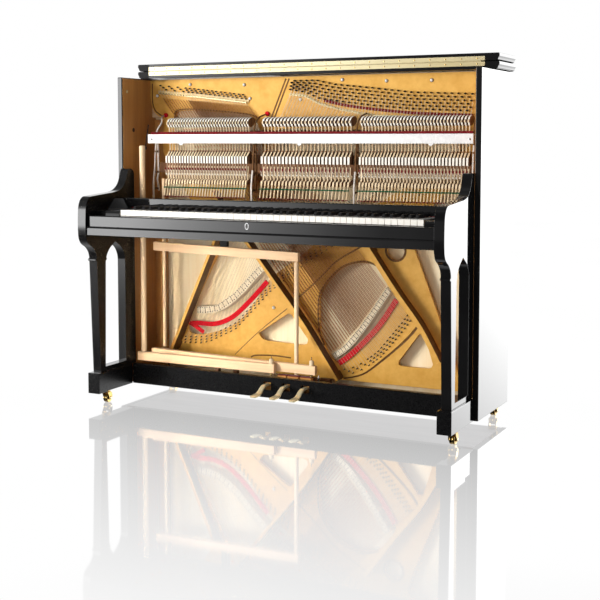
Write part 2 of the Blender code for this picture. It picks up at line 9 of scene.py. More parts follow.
import bmesh
import bpy
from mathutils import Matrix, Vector


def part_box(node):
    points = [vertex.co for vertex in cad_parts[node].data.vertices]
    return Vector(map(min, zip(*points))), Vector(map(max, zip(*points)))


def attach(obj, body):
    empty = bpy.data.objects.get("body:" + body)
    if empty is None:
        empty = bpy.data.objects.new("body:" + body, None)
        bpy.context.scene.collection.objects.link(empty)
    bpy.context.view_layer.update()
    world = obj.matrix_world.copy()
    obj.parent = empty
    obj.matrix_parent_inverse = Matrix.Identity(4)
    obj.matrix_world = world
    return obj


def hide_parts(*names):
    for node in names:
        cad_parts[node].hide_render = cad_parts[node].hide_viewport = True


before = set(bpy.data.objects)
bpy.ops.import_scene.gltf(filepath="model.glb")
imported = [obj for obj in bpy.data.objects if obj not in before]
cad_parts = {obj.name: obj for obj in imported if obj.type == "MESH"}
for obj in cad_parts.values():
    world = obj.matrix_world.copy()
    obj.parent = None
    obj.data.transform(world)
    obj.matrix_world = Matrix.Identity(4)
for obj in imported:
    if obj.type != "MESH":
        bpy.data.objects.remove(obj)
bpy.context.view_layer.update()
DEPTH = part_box("case_side_left")[0].y

CASE_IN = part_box("case_side_right")[0].x
CASE_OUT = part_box("case_side_right")[1].x

LACQUER = "black_polyester"
FORWARD = (0, -1, 0)
UP = (0, 0, 1)
DOWN = (0, 0, -1)
SOFT_ANGLE = 0.6    # radians between two faces, above which their edge stays sharp
FACING = 0.9        # part of a unit normal, above which a face looks that way


# ---------------------------------------------------------------- materials

LOOKS = {}


def node(tree, kind, links=(), **settings):
    """Add a shader node by its short name, set its properties and inputs, and wire what feeds it."""
    made = tree.nodes.new("ShaderNode" + kind)
    for name, value in settings.items():
        if name.startswith("in_"):
            made.inputs[name[3:].replace("_", " ")].default_value = value
        else:
            setattr(made, name, value)
    for socket, source in links:
        tree.links.new(source, made.inputs[socket])
    return made


def new_look(name, roughness, metallic=0.0, coat=0.0, sheen=0.0, specular=0.5, coat_roughness=0.03):
    """A Principled material with its constants set, and object coordinates ready to use."""
    mat = bpy.data.materials.new(name)
    mat.use_nodes = True
    tree = mat.node_tree
    shader = tree.nodes["Principled BSDF"]
    shader.inputs["Roughness"].default_value = roughness
    shader.inputs["Metallic"].default_value = metallic
    shader.inputs["Coat Weight"].default_value = coat
    shader.inputs["Coat Roughness"].default_value = coat_roughness
    shader.inputs["Sheen Weight"].default_value = sheen
    shader.inputs["Specular IOR Level"].default_value = specular
    place = node(tree, "TexCoord").outputs["Object"]
    LOOKS[name] = mat
    return tree, shader, place


def stretched(tree, place, scale):
    """Coordinates squeezed by a different amount along each axis."""
    return node(tree, "Mapping", [("Vector", place)], in_Scale=scale).outputs["Vector"]


def noise(tree, vector, scale, detail=3.0, rough=0.55):
    """Fractal noise as a grey value."""
    made = node(tree, "TexNoise", [("Vector", vector)], in_Scale=scale, in_Detail=detail, in_Roughness=rough)
    return made.outputs["Fac"]


def ramp(tree, factor, stops):
    """Colours along a factor: stops are (position, rgb)."""
    made = node(tree, "ValToRGB", [("Fac", factor)])
    line = made.color_ramp
    while len(line.elements) > 1:
        line.elements.remove(line.elements[-1])
    for i, (position, colour) in enumerate(stops):
        stop = line.elements[0] if i == 0 else line.elements.new(position)
        stop.position = position
        stop.color = (*colour, 1.0)
    return made.outputs["Color"]


def spread(tree, factor, low, high):
    """Map a 0 to 1 factor onto low to high."""
    return node(tree, "MapRange", [("Value", factor)], in_To_Min=low, in_To_Max=high).outputs["Result"]


def bump(tree, shader, height, strength, distance):
    """Feed a height into the shader's normal."""
    made = node(tree, "Bump", [("Height", height)], in_Strength=strength, in_Distance=distance)
    tree.links.new(made.outputs["Normal"], shader.inputs["Normal"])


def speckled(name, dark, light, rough, metallic=0.0, scale=60.0, grain=(1, 1, 1), height=0.0, fine=400.0,
             **more):
    """Two close colours in fractal noise, roughness that follows it, and a fine bump."""
    low, high = rough
    tree, shader, place = new_look(name, (low + high) / 2, metallic, **more)
    vector = stretched(tree, place, grain)
    cloud = noise(tree, vector, scale)
    colour = ramp(tree, cloud, [(0.32, dark), (0.68, light)])
    tree.links.new(colour, shader.inputs["Base Color"])
    tree.links.new(spread(tree, noise(tree, vector, scale * 2.3), low, high), shader.inputs["Roughness"])
    if height:
        bump(tree, shader, noise(tree, vector, fine), 0.5, height)
    return tree, shader, place


def timber(name, pale, mid, dark, along, rings=60.0, rough=(0.35, 0.5), height=0.00005, **more):
    """Wood: long soft bands along one axis, fine pores, and a slight bump."""
    tree, shader, place = new_look(name, rough[0], **more)
    long_way = tuple(0.06 if axis == along else 1.0 for axis in "xyz")
    vector = stretched(tree, place, long_way)
    wander = noise(tree, vector, rings * 0.35, 2.0)
    bands = noise(tree, vector, rings, 4.0, 0.65)
    pores = noise(tree, stretched(tree, place, tuple(0.02 if axis == along else 1.0 for axis in "xyz")),
                  rings * 12.0, 2.0)
    mixed = node(tree, "Math", [(0, bands), (1, wander)], operation="MULTIPLY_ADD")
    tree.links.new(spread(tree, pores, -0.06, 0.12), mixed.inputs[2])
    colour = ramp(tree, mixed.outputs["Value"], [(0.12, dark), (0.28, mid), (0.46, pale)])
    tree.links.new(colour, shader.inputs["Base Color"])
    tree.links.new(spread(tree, pores, *rough), shader.inputs["Roughness"])
    bump(tree, shader, pores, 0.4, height)


def felt(name, dark, light, fuzz=700.0):
    """Pressed wool: cloudy colour, sheen, and a fibre bump."""
    tree, shader, place = new_look(name, 0.92, sheen=0.15, specular=0.2)
    cloud = noise(tree, place, 90.0, 4.0)
    tree.links.new(ramp(tree, cloud, [(0.3, dark), (0.7, light)]), shader.inputs["Base Color"])
    bump(tree, shader, noise(tree, place, fuzz, 5.0, 0.7), 0.6, 0.0003)


def make_looks():
    """Every material, by the name the pieces use."""
    for name, coat in ((LACQUER, 0.6), ("black_lid", 0.0)):
        tree, shader, place = new_look(name, 0.05, coat=coat, coat_roughness=0.02)
        cloud = noise(tree, place, 3.0)
        tree.links.new(ramp(tree, cloud, [(0.3, (0.0045, 0.0045, 0.005)), (0.7, (0.009, 0.009, 0.0095))]),
                       shader.inputs["Base Color"])
        rough = spread(tree, noise(tree, place, 220.0), 0.03, 0.07)
        if not coat:
            # the lid's left end is dull
            across = node(tree, "SeparateXYZ", [("Vector", place)]).outputs["X"]
            dull = node(tree, "MapRange", [("Value", across)], in_From_Min=-0.712, in_From_Max=-0.722,
                        in_To_Min=0.0, in_To_Max=0.5)
            rough = node(tree, "Math", [(0, rough), (1, dull.outputs["Result"])],
                         operation="ADD").outputs["Value"]
        tree.links.new(rough, shader.inputs["Roughness"])
        bump(tree, shader, noise(tree, place, 14.0, 1.0), 0.03, 0.0004)
    speckled("board_grey", (0.29, 0.28, 0.285), (0.38, 0.365, 0.37), (0.4, 0.55), scale=30,
             grain=(0.1, 1, 1), height=0.0001)
    # darker, duller copy of the black lacquer: painted shade on the bottom rail, on the inner faces of arms
    # and feet and on the feet's fronts; also on the key bed's rear faces
    speckled("black_satin", (0.0022, 0.0022, 0.0025), (0.005, 0.005, 0.0054), (0.22, 0.34), scale=90,
             height=0.00004, specular=0.18)
    timber("veneer", (0.62, 0.3, 0.095), (0.5, 0.23, 0.07), (0.34, 0.15, 0.045), "z", 22.0, (0.3, 0.45))
    # dark brown painted in as shade: the sides of action parts, the damper heads and the bottom board's top
    # and edges
    timber("painted_shade_wood", (0.16, 0.075, 0.035), (0.11, 0.05, 0.024), (0.06, 0.028, 0.014), "z", 40.0)
    timber("beech_x", (0.9, 0.65, 0.42), (0.82, 0.56, 0.34), (0.68, 0.43, 0.24), "x", 55.0)
    timber("beech_z", (0.9, 0.7, 0.48), (0.83, 0.62, 0.4), (0.7, 0.49, 0.3), "z", 70.0)
    timber("maple_x", (0.8, 0.63, 0.42), (0.72, 0.54, 0.34), (0.58, 0.41, 0.24), "x", 70.0)
    timber("action_wood", (0.84, 0.7, 0.51), (0.75, 0.6, 0.4), (0.58, 0.42, 0.25), "z", 120.0, (0.45, 0.6))
    timber("bridge_wood", (0.92, 0.84, 0.68), (0.87, 0.77, 0.58), (0.78, 0.65, 0.44), "z", 90.0, (0.45, 0.6))
    # dark brown for the hammer butts and backcheck blocks, also used as painted shade on side faces, the
    # main rail and the damper levers
    timber("butt_and_shade_wood", (0.3, 0.15, 0.07), (0.22, 0.105, 0.05), (0.13, 0.06, 0.03), "z", 120.0, (0.5, 0.65))
    timber("key_wood", (0.8, 0.64, 0.42), (0.72, 0.55, 0.34), (0.6, 0.43, 0.25), "y", 90.0, (0.45, 0.6))
    timber("spruce", (0.98, 0.88, 0.66), (0.95, 0.82, 0.57), (0.88, 0.71, 0.45), "z", 60.0, (0.35, 0.5))
    timber("pine", (0.8, 0.62, 0.38), (0.72, 0.52, 0.29), (0.58, 0.38, 0.19), "z", 45.0, (0.5, 0.65))
    tree, shader, place = speckled("gold_iron", (0.67, 0.355, 0.066), (0.77, 0.445, 0.104), (0.34, 0.5),
                                   0.14, scale=34.0, height=0.0, coat=0.1, coat_roughness=0.3)
    lumps = noise(tree, place, 75.0, 4.0, 0.6)
    bump(tree, shader, lumps, 0.35, 0.0011)
    # dark brown for the side faces of the plate's ribs: painted shade
    speckled("rib_side_shade", (0.1, 0.042, 0.014), (0.17, 0.075, 0.025), (0.4, 0.6), 0.1, scale=40,
             height=0.0004)
    speckled("cream_paint", (0.68, 0.5, 0.23), (0.79, 0.62, 0.34), (0.3, 0.45), 0.2, scale=40, height=0.0002,
             coat=0.3)
    # dark brown painted in as shade: shadow lines on the plate, parts of the brackets, rings under the bolts
    # and bars across the bridge tops
    speckled("painted_shade_brown", (0.1, 0.045, 0.015), (0.19, 0.09, 0.03), (0.5, 0.7), scale=80, height=0.0002)
    speckled("brass", (0.76, 0.5, 0.15), (0.9, 0.66, 0.25), (0.12, 0.26), 0.8, scale=30, height=0.00006)
    speckled("brass_pale", (0.86, 0.74, 0.42), (0.94, 0.84, 0.55), (0.18, 0.3), 0.55, scale=24,
             grain=(0.1, 1, 1))
    speckled("caster_brass", (0.4, 0.26, 0.08), (0.6, 0.42, 0.15), (0.14, 0.26), 1.0, scale=60)
    speckled("pedal_brass", (0.94, 0.8, 0.48), (1.0, 0.92, 0.64), (0.16, 0.26), 0.55, scale=40,
             height=0.00006)
    speckled("steel", (0.62, 0.62, 0.63), (0.8, 0.8, 0.81), (0.16, 0.32), 1.0, scale=120)
    speckled("string_steel", (0.62, 0.53, 0.4), (0.8, 0.71, 0.57), (0.45, 0.6), 0.25, scale=300)
    speckled("coil_steel", (0.16, 0.13, 0.1), (0.34, 0.29, 0.22), (0.3, 0.45), 0.8, scale=500)
    speckled("blued_steel", (0.025, 0.024, 0.026), (0.07, 0.065, 0.065), (0.25, 0.4), 0.9, scale=200)
    speckled("silver_paint", (0.8, 0.81, 0.83), (0.9, 0.91, 0.93), (0.28, 0.4), 0.25, scale=50,
             height=0.00005)
    speckled("bracket_paint", (0.66, 0.62, 0.58), (0.82, 0.78, 0.74), (0.35, 0.5), 0.35, scale=60,
             height=0.0002)
    tree, shader, place = new_look("copper_wound", 0.3, 1.0)
    cloud = noise(tree, place, 160.0, 2.0)
    tree.links.new(ramp(tree, cloud, [(0.3, (0.62, 0.29, 0.15)), (0.7, (0.86, 0.5, 0.31))]),
                   shader.inputs["Base Color"])
    tree.links.new(spread(tree, cloud, 0.25, 0.4), shader.inputs["Roughness"])
    coils = node(tree, "TexWave", [("Vector", place)], in_Scale=260.0, bands_direction="Z")
    bump(tree, shader, coils.outputs["Fac"], 0.4, 0.0002)
    speckled("key_white", (0.88, 0.87, 0.83), (0.93, 0.92, 0.89), (0.1, 0.18), scale=12, coat=0.5)
    speckled("key_black", (0.012, 0.012, 0.013), (0.022, 0.022, 0.023), (0.22, 0.34), scale=140,
             height=0.00004)
    speckled("leather", (0.8, 0.76, 0.68), (0.92, 0.89, 0.82), (0.75, 0.9), scale=220, height=0.0002)
    felt("felt_white", (0.8, 0.78, 0.71), (0.93, 0.91, 0.86))
    felt("felt_red", (0.42, 0.004, 0.01), (0.6, 0.01, 0.02))
    felt("felt_dark_red", (0.1, 0.006, 0.009), (0.18, 0.013, 0.017))
    felt("felt_green", (0.01, 0.05, 0.022), (0.022, 0.09, 0.04))


# ---------------------------------------------------------------- shape tools

def rect(a, b, c, d):
    """Rectangle between a and b along the first axis, c and d along the second."""
    return [(a, c), (b, c), (b, d), (a, d)]


class Solid:
    """Closed shells collected for one piece; every point is (x, depth, z)."""

    def __init__(self):
        self.bm = bmesh.new()
        self.looks = []

    def slot(self, look):
        """Place of a look in this piece's own list."""
        if look not in self.looks:
            self.looks.append(look)
        return self.looks.index(look)

    def loft(self, rings, look, caps=None):
        """Skin a stack of rings with equal point counts; the caps may have a second look, which paints shade
        on the sides of thin parts.
        """
        slot = self.slot(look)
        loops = [[self.bm.verts.new(p) for p in ring] for ring in rings]
        faces = [self.bm.faces.new(loops[0][::-1]), self.bm.faces.new(loops[-1])]
        count = len(loops[0])
        for low, high in zip(loops, loops[1:]):
            for i in range(count):
                j = (i + 1) % count
                faces.append(self.bm.faces.new((low[i], low[j], high[j], high[i])))
        for face in faces:
            face.material_index = slot
        for face in faces[:2]:
            face.material_index = self.slot(caps or look)

    def prism(self, outline, axis, low, high, look, caps=None):
        """Push a flat outline along an axis: (depth, z) for x, (x, z) for y, (x, depth) for z."""
        def corner(a, b, c):
            return {"x": (c, a, b), "y": (a, c, b), "z": (a, b, c)}[axis]
        self.loft([[corner(a, b, c) for a, b in outline] for c in (low, high)], look, caps)

    def box(self, x, y, z, look):
        """Straight block between two limits along each axis."""
        self.prism(rect(*x, *y), "z", *z, look)

    def slab(self, outline, x, half, look, caps=None):
        """Push a (depth, z) outline both ways from x."""
        self.prism(outline, "x", x - half, x + half, look, caps)

    def tube(self, points, radius, look, sides=6):
        """Round bar along a path of points."""
        path = [Vector(p) for p in points]
        rings = []
        side = None
        for i, point in enumerate(path):
            way = (path[min(i + 1, len(path) - 1)] - path[max(i - 1, 0)]).normalized()
            if side is None:
                side = way.orthogonal().normalized()
            side = (side - way * side.dot(way)).normalized()
            up = way.cross(side)
            rings.append([tuple(point + (side * math.cos(t) + up * math.sin(t)) * radius)
                          for t in turns(sides)])
        self.loft(rings, look)

    def lathe(self, foot, way, profile, look, sides=12):
        """Turn (distance along the axis, radius) pairs round an axis."""
        way = Vector(way).normalized()
        side = way.orthogonal().normalized()
        up = way.cross(side)
        foot = Vector(foot)
        self.loft([[tuple(foot + way * run + (side * math.cos(t) + up * math.sin(t)) * radius)
                    for t in turns(sides)] for run, radius in profile], look)

    def screw(self, foot, way, radius, look="steel", slot_turn=0.6, slotted=True):
        """Domed head with a driver slot, sitting on a surface."""
        self.lathe(foot, way, [(0, radius), (radius * 0.28, radius), (radius * 0.52, radius * 0.78),
                               (radius * 0.62, radius * 0.3)], look, 14)
        if slotted:
            way = Vector(way).normalized()
            side = way.orthogonal().normalized()
            side = side * math.cos(slot_turn) + way.cross(side) * math.sin(slot_turn)
            across = way.cross(side)
            top = Vector(foot) + way * radius * 0.6
            ring = [side * radius * a + across * radius * b
                    for a, b in ((-0.62, -0.09), (0.62, -0.09), (0.62, 0.09), (-0.62, 0.09))]
            self.loft([[tuple(top + p) for p in ring], [tuple(top + p + way * radius * 0.08) for p in ring]],
                      "blued_steel")


def turns(sides):
    """Angles round a full circle."""
    return [2 * math.pi * i / sides for i in range(sides)]


def smooth_path(points, steps=6):
    """Catmull-Rom curve through points of any dimension."""
    result = []
    last = len(points) - 1
    for i in range(last):
        p0, p1, p2, p3 = (points[max(i - 1, 0)], points[i], points[i + 1], points[min(i + 2, last)])
        for s in range(steps):
            t = s / steps
            result.append(tuple(
                0.5 * (2 * b + (c - a) * t + (2 * a - 5 * b + 4 * c - d) * t * t
                       + (3 * b - a - 3 * c + d) * t ** 3)
                for a, b, c, d in zip(p0, p1, p2, p3)))
    result.append(tuple(points[-1]))
    return result


def along(points, share):
    """The point at a share of a path's length."""
    lengths = [math.dist(a, b) for a, b in zip(points, points[1:])]
    left = share * sum(lengths)
    for a, b, size in zip(points, points[1:], lengths):
        if left <= size:
            return tuple(p + (q - p) * left / size for p, q in zip(a, b))
        left -= size
    return tuple(points[-1])


def strip(path, width):
    """Outline of a band that follows a flat path."""
    left, right = [], []
    for i, (x, z) in enumerate(path):
        x0, z0 = path[max(i - 1, 0)]
        x1, z1 = path[min(i + 1, len(path) - 1)]
        size = math.hypot(x1 - x0, z1 - z0)
        nx, nz = (z0 - z1) / size * width / 2, (x1 - x0) / size * width / 2
        left.append((x + nx, z + nz))
        right.append((x - nx, z - nz))
    return left + right[::-1]


def ribbon(solid, path, width, low, high, look):
    """A band of felt or wood along a path on the plate: quads, so that it can curve sharply."""
    edge = strip(path, width)
    count = len(path)
    left, right = edge[:count], edge[count:][::-1]
    rings = [[(a[0], low, a[1]), (a[0], high, a[1]), (b[0], high, b[1]), (b[0], low, b[1])]
             for a, b in zip(left, right)]
    solid.loft(rings, look)


def finish_piece(name, mesh, looks, body, bevel, replaces, segments=2):
    """Link a mesh as a piece: materials, soft edges, and what it rides on and stands for."""
    obj = bpy.data.objects.new(name, mesh)
    bpy.context.scene.collection.objects.link(obj)
    for look in looks:
        mesh.materials.append(LOOKS[look])
    mesh.shade_smooth()
    if bevel:
        mod = obj.modifiers.new("soft_edges", "BEVEL")
        mod.width = bevel
        mod.segments = segments
        mod.limit_method = "ANGLE"
        mod.angle_limit = SOFT_ANGLE
        mod.harden_normals = True
    else:
        mesh.set_sharp_from_angle(angle=SOFT_ANGLE)
    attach(obj, body)
    if replaces:
        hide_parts(*replaces)
    return obj


def repaint(obj, look, chosen):
    """Give the faces that pass a test a second look."""
    obj.data.materials.append(LOOKS[look])
    for face in obj.data.polygons:
        face.material_index = int(chosen(face))


def piece(name, solid, body="case", bevel=0.0, replaces=(), segments=2):
    """Turn a Solid into a piece."""
    bmesh.ops.recalc_face_normals(solid.bm, faces=solid.bm.faces)
    for vert in solid.bm.verts:
        vert.co.y += DEPTH
    mesh = bpy.data.meshes.new(name)
    solid.bm.to_mesh(mesh)
    solid.bm.free()
    return finish_piece(name, mesh, solid.looks, body, bevel, replaces, segments)


def remake(node_name, name, look, body="case", bevel=0.001, segments=2):
    """The frame's own shape as a clean mesh with soft edges, standing for its node."""
    bm = bmesh.new()
    bm.from_mesh(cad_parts[node_name].data)
    bmesh.ops.remove_doubles(bm, verts=bm.verts, dist=0.00002)
    bmesh.ops.dissolve_limit(bm, angle_limit=0.004, verts=bm.verts, edges=bm.edges)
    bmesh.ops.recalc_face_normals(bm, faces=bm.faces)
    bm.verts.index_update()
    mesh = bpy.data.meshes.new(name)
    mesh.from_pydata([v.co.copy() for v in bm.verts], [],
                     [[v.index for v in face.verts] for face in bm.faces])
    bm.free()
    return finish_piece(name, mesh, [look], body, bevel, [node_name], segments)


# ---------------------------------------------------------------- case

def build_case():
    """Sides with veneered inner faces, arms, feet, bottom rail and board."""
    for tag, side in (("left", -1), ("right", 1)):
        low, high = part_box("case_side_" + tag)
        rear = high.y - DEPTH
        panel = Solid()
        skin = 0.0012
        x = sorted((side * (CASE_IN + skin), side * CASE_OUT))
        panel.box(x, (0.0, rear), (low.z, high.z), LACQUER)
        piece("case_side_panel_" + tag, panel, bevel=0.0032, replaces=["case_side_" + tag],
              segments=3)
        inner = Solid()
        x = sorted((side * CASE_IN, side * (CASE_IN + skin - 0.0001)))
        inner.box(x, (0.004, rear - 0.004), (low.z + 0.004, high.z - 0.004), "veneer")
        piece("side_veneer_" + tag, inner)
        fittings = Solid()
        face = -side * 1.0
        wall = side * CASE_IN
        fittings.screw((wall, 0.033, 1.231), (face, 0, 0), 0.0065, "brass_pale")
        fittings.lathe((wall, 0.076, 1.077), (face, 0, 0), [(0, 0.0085), (0.0008, 0.0085), (0.0012, 0.007)],
                       "blued_steel", 18)
        piece("door_catch_fittings_" + tag, fittings)
        arm = remake("arm_" + tag, "arm_and_leg_" + tag, LACQUER, bevel=0.0007, segments=1)
        foot = remake("foot_" + tag, "foot_block_" + tag, LACQUER, bevel=0.0022, segments=3)
        # the arms' inner faces, and the feet's inner and front faces, get the darker, duller black as
        # painted shade
        repaint(arm, "black_satin", lambda face: face.normal.x * side < -FACING)
        repaint(foot, "black_satin", lambda face: face.normal.x * side < -FACING or face.normal.y < -FACING)
    # the bottom rail takes the darker, duller black as painted shade
    remake("bottom_rail", "bottom_rail_board", "black_satin", bevel=0.0015)
    # two tones standing for light: the underside is a lighter grey so that its reflection in the floor reads
    # light, and the top and edges are painted dark brown as painted shade
    board = remake("bottom_board", "bottom_board_panel", "board_grey", bevel=0.0008)
    repaint(board, "painted_shade_wood", lambda face: face.normal.z > -FACING)


def build_lid():
    """Both lid boards and the long hinge with its screws."""
    remake("lid_rear", "lid_rear_board", "black_lid", bevel=0.002, segments=3)
    remake("lid_front", "lid_front_board", "black_lid", "lid_front_board", 0.002, 3)
    low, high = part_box("lid_hinge")
    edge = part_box("lid_rear")[0].y - DEPTH
    centre = (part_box("lid_rear")[1].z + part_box("lid_front")[0].z) / 2
    left, right = low.x, high.x
    pin_depth = edge - 0.002
    knuckle = 0.0019
    length = 0.02
    screws, margin = 24, 0.028
    count = int((right - left) / length)
    for name, body, sign, first in (("hinge_leaf_lower", "case", -1, 0),
                                    ("hinge_leaf_upper", "lid_front_board", 1, 1)):
        leaf = Solid()
        z = sorted((centre + sign * 0.0022, centre + sign * 0.0172))
        leaf.box((left, right), (edge - 0.0015, edge - 0.0002), z, "brass_pale")
        for i in range(first, count, 2):
            x = left + i * length
            leaf.lathe((x + 0.0003, pin_depth, centre), (1, 0, 0),
                       [(0, knuckle), (length - 0.0006, knuckle)], "brass_pale", 10)
            leaf.box((x + 0.0006, x + length - 0.0006), (edge - 0.0014, edge - 0.0003),
                     sorted((centre + sign * 0.0003, centre + sign * 0.003)), "brass_pale")
        for i in range(screws):
            x = left + margin + i * (right - left - 2 * margin) / (screws - 1)
            leaf.lathe((x, edge - 0.0012, centre + sign * 0.0097), FORWARD, [(0, 0.003), (0.0005, 0.003),
                                                                             (0.0007, 0.0022)], "brass", 12)
        replaced = ["lid_hinge"] if sign < 0 else []
        piece(name, leaf, body, bevel=0.0, replaces=replaced)


def build_keyboard_case():
    """Key bed, key slip with its oval ring, end blocks and the rail behind the keys."""
    bed = remake("key_bed", "key_bed_board", LACQUER, bevel=0.0012)
    # the key bed's rear faces get the darker, duller black
    repaint(bed, "black_satin", lambda face: face.center.y - DEPTH > -0.15)
    for node_name, name in (("key_slip", "key_slip_board"), ("key_block_left", "key_block_end_left"),
                            ("key_block_right", "key_block_end_right")):
        remake(node_name, name, LACQUER, bevel=0.0012)
    remake("nameboard", "nameboard_rail", LACQUER, bevel=0.0014, segments=3)
    ring = Solid()
    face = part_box("key_slip")[0].y - DEPTH
    centre_z = 0.731
    rings = []
    for t in turns(20):
        mid = (-0.006 + 0.0066 * math.cos(t), centre_z + 0.0108 * math.sin(t))
        out = (math.cos(t), math.sin(t))
        rings.append([(mid[0] + out[0] * 0.0014 * math.cos(s), face - 0.0004 + 0.001 * math.sin(s),
                       mid[1] + out[1] * 0.0014 * math.cos(s)) for s in turns(8)])
    slot = ring.slot("silver_paint")
    loops = [[ring.bm.verts.new(p) for p in r] for r in rings]
    for a, b in zip(loops, loops[1:] + loops[:1]):
        for i in range(8):
            ring.bm.faces.new((a[i], a[(i + 1) % 8], b[(i + 1) % 8], b[i])).material_index = slot
    piece("key_slip_ring", ring)
    cloth = Solid()
    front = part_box("nameboard")[0].y - DEPTH
    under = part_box("nameboard")[0].z
    cloth.box((-0.64, 0.642), (front + 0.001, front + 0.016), (under - 0.0022, under), "felt_dark_red")
    piece("nameboard_felt", cloth)


# ---------------------------------------------------------------- keys

NATURALS = 52
KEY_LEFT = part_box("naturals_bass")[0].x - 0.0004
KEY_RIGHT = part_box("naturals_treble")[1].x + 0.0004
KEY_PITCH = (KEY_RIGHT - KEY_LEFT) / NATURALS
KEY_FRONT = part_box("naturals_bass")[0].y - DEPTH
KEY_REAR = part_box("naturals_bass")[1].y - DEPTH
KEY_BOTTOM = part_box("naturals_bass")[0].z
KEY_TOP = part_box("naturals_bass")[1].z
SHARP_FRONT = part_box("sharps_bass")[0].y - DEPTH
SHARP_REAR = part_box("sharps_bass")[1].y - DEPTH
SHARP_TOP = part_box("sharps_bass")[1].z
SECTION_NATURALS = {"bass": (0, 18), "tenor": (18, 35), "treble": (35, 52)}
# a natural counts up from A; the value is how far its right-hand sharp sits off the joint line
SHARP_OFFSET = {0: 0.0035, 2: -0.0028, 3: 0.0028, 5: -0.0035, 6: 0.0}
SHARP_HALF = 0.0055


def sharp_centres():
    """Centre line of every sharp, keyed by the natural on its left."""
    found = {}
    for i in range(NATURALS - 1):
        offset = SHARP_OFFSET.get(i % 7)
        if offset is not None:
            found[i] = KEY_LEFT + (i + 1) * KEY_PITCH + offset
    return found


def natural_outline(i, sharps, gap, front, rear):
    """Plan of one white key with its notches for the sharps on either side."""
    left = KEY_LEFT + i * KEY_PITCH + gap
    right = KEY_LEFT + (i + 1) * KEY_PITCH - gap
    notch = SHARP_FRONT - 0.0015
    clear = SHARP_HALF + 0.0014
    plan = [(left, front), (right, front)]
    if i in sharps:
        plan += [(right, notch), (sharps[i] - clear, notch), (sharps[i] - clear, rear)]
    else:
        plan += [(right, rear)]
    if i - 1 in sharps:
        plan += [(sharps[i - 1] + clear, rear), (sharps[i - 1] + clear, notch), (left, notch)]
    else:
        plan += [(left, rear)]
    return plan


def build_keys():
    """Fifty-two white keys and thirty-six black ones, in the frame's three sections."""
    sharps = sharp_centres()
    cover = 0.003
    for section, (first, last) in SECTION_NATURALS.items():
        body = "keys_" + section
        white = Solid()
        stick = Solid()
        for i in range(first, last):
            plan = natural_outline(i, sharps, 0.0005, KEY_FRONT, SHARP_REAR + 0.022)
            white.prism(plan, "z", KEY_TOP - cover, KEY_TOP, "key_white")
            left = KEY_LEFT + i * KEY_PITCH + 0.0006
            right = left + KEY_PITCH - 0.0012
            white.box((left, right), (KEY_FRONT + 0.0012, KEY_FRONT + 0.0034),
                      (KEY_BOTTOM + 0.0004, KEY_TOP - cover - 0.00002), "key_white")
            plan = natural_outline(i, sharps, 0.0009, KEY_FRONT + 0.0036, KEY_REAR - 0.001)
            stick.prism(plan, "z", KEY_BOTTOM + 0.0002, KEY_TOP - cover - 0.0002, "key_wood")
        piece("white_keys_" + section, white, body, 0.0007, ["naturals_" + section])
        black = Solid()
        low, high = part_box("sharps_" + section)
        foot = KEY_TOP - 0.001
        for x in (centre for centre in sharps.values() if low.x < centre < high.x):
            black.loft([[(a, b, z) for a, b in rect(x - half, x + half, SHARP_FRONT + lean, SHARP_REAR)]
                        for half, lean, z in ((SHARP_HALF, 0.0, foot),
                                              (SHARP_HALF * 0.93, 0.0045, SHARP_TOP - 0.0028),
                                              (0.0042, 0.0085, SHARP_TOP))], "key_black")
            stick.box((x - SHARP_HALF + 0.0003, x + SHARP_HALF - 0.0003),
                      (SHARP_FRONT + 0.001, KEY_REAR - 0.001), (KEY_BOTTOM - 0.002, foot - 0.0001),
                      "key_wood")
        piece("black_keys_" + section, black, body, 0.0009, ["sharps_" + section])
        piece("key_sticks_" + section, stick, body, 0.0005)


# ---------------------------------------------------------------- action

SECTIONS = {"bass": 30, "tenor": 25, "treble": 33}
DAMPERS = 76
BUTT_HALF = 0.0034      # half thickness of a hammer's butt and catcher
LEVER_HALF = 0.0036     # half thickness of a whippen and its flange
SHANK_RADIUS = 0.0027


def unit_centres(section):
    """Where each note's action stands along the rail."""
    low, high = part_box("hammers_" + section)
    count = SECTIONS[section]
    pitch = (high.x - low.x) / count
    return [low.x + (i + 0.5) * pitch for i in range(count)], pitch


HEAD_CORE = [(0.086, 1.0975), (0.1, 1.0985), (0.13, 1.1035), (0.14, 1.1085), (0.14, 1.1125),
             (0.129, 1.115), (0.086, 1.108)]
HEAD_FELT = [(0.0935, 1.1035), (0.095, 1.0925), (0.105, 1.0865), (0.124, 1.0885), (0.142, 1.0985),
             (0.151, 1.11), (0.148, 1.1185), (0.134, 1.125), (0.112, 1.123), (0.095, 1.1145)]


def build_hammers():
    """Hammer heads, shanks, butts and catchers, one piece per section."""
    for section in SECTIONS:
        centres, pitch = unit_centres(section)
        body = "hammer_set_" + section
        row = Solid()
        for i, x in enumerate(centres):
            share = i / len(centres)
            half = pitch * (0.265 - 0.03 * share)
            # the side faces of the heads, felts, butts and catchers are painted dark brown as painted shade
            row.slab(HEAD_CORE, x, half * 0.72, "action_wood", "painted_shade_wood")
            row.slab(smooth_path(HEAD_FELT + HEAD_FELT[:1], 2)[:-1], x, half, "felt_white", "butt_and_shade_wood")
            row.tube([(x, 0.1105, 0.984), (x, 0.107, 1.04), (x, 0.104, 1.102)], SHANK_RADIUS, "action_wood",
                     8)
            butt = [(0.1, 0.944), (0.114, 0.944), (0.118, 0.956), (0.117, 0.976), (0.114, 0.993),
                    (0.108, 0.996), (0.103, 0.98), (0.099, 0.96)]
            row.slab(butt, x, BUTT_HALF, "butt_and_shade_wood", "painted_shade_wood")
            catch = [(0.088, 0.976), (0.09, 0.97), (0.103, 0.978), (0.106, 0.988), (0.103, 0.9905)]
            row.slab(catch, x, BUTT_HALF, "action_wood", "painted_shade_wood")
        piece("hammer_row_" + section, row, body, 0.0006, ["hammers_" + section])


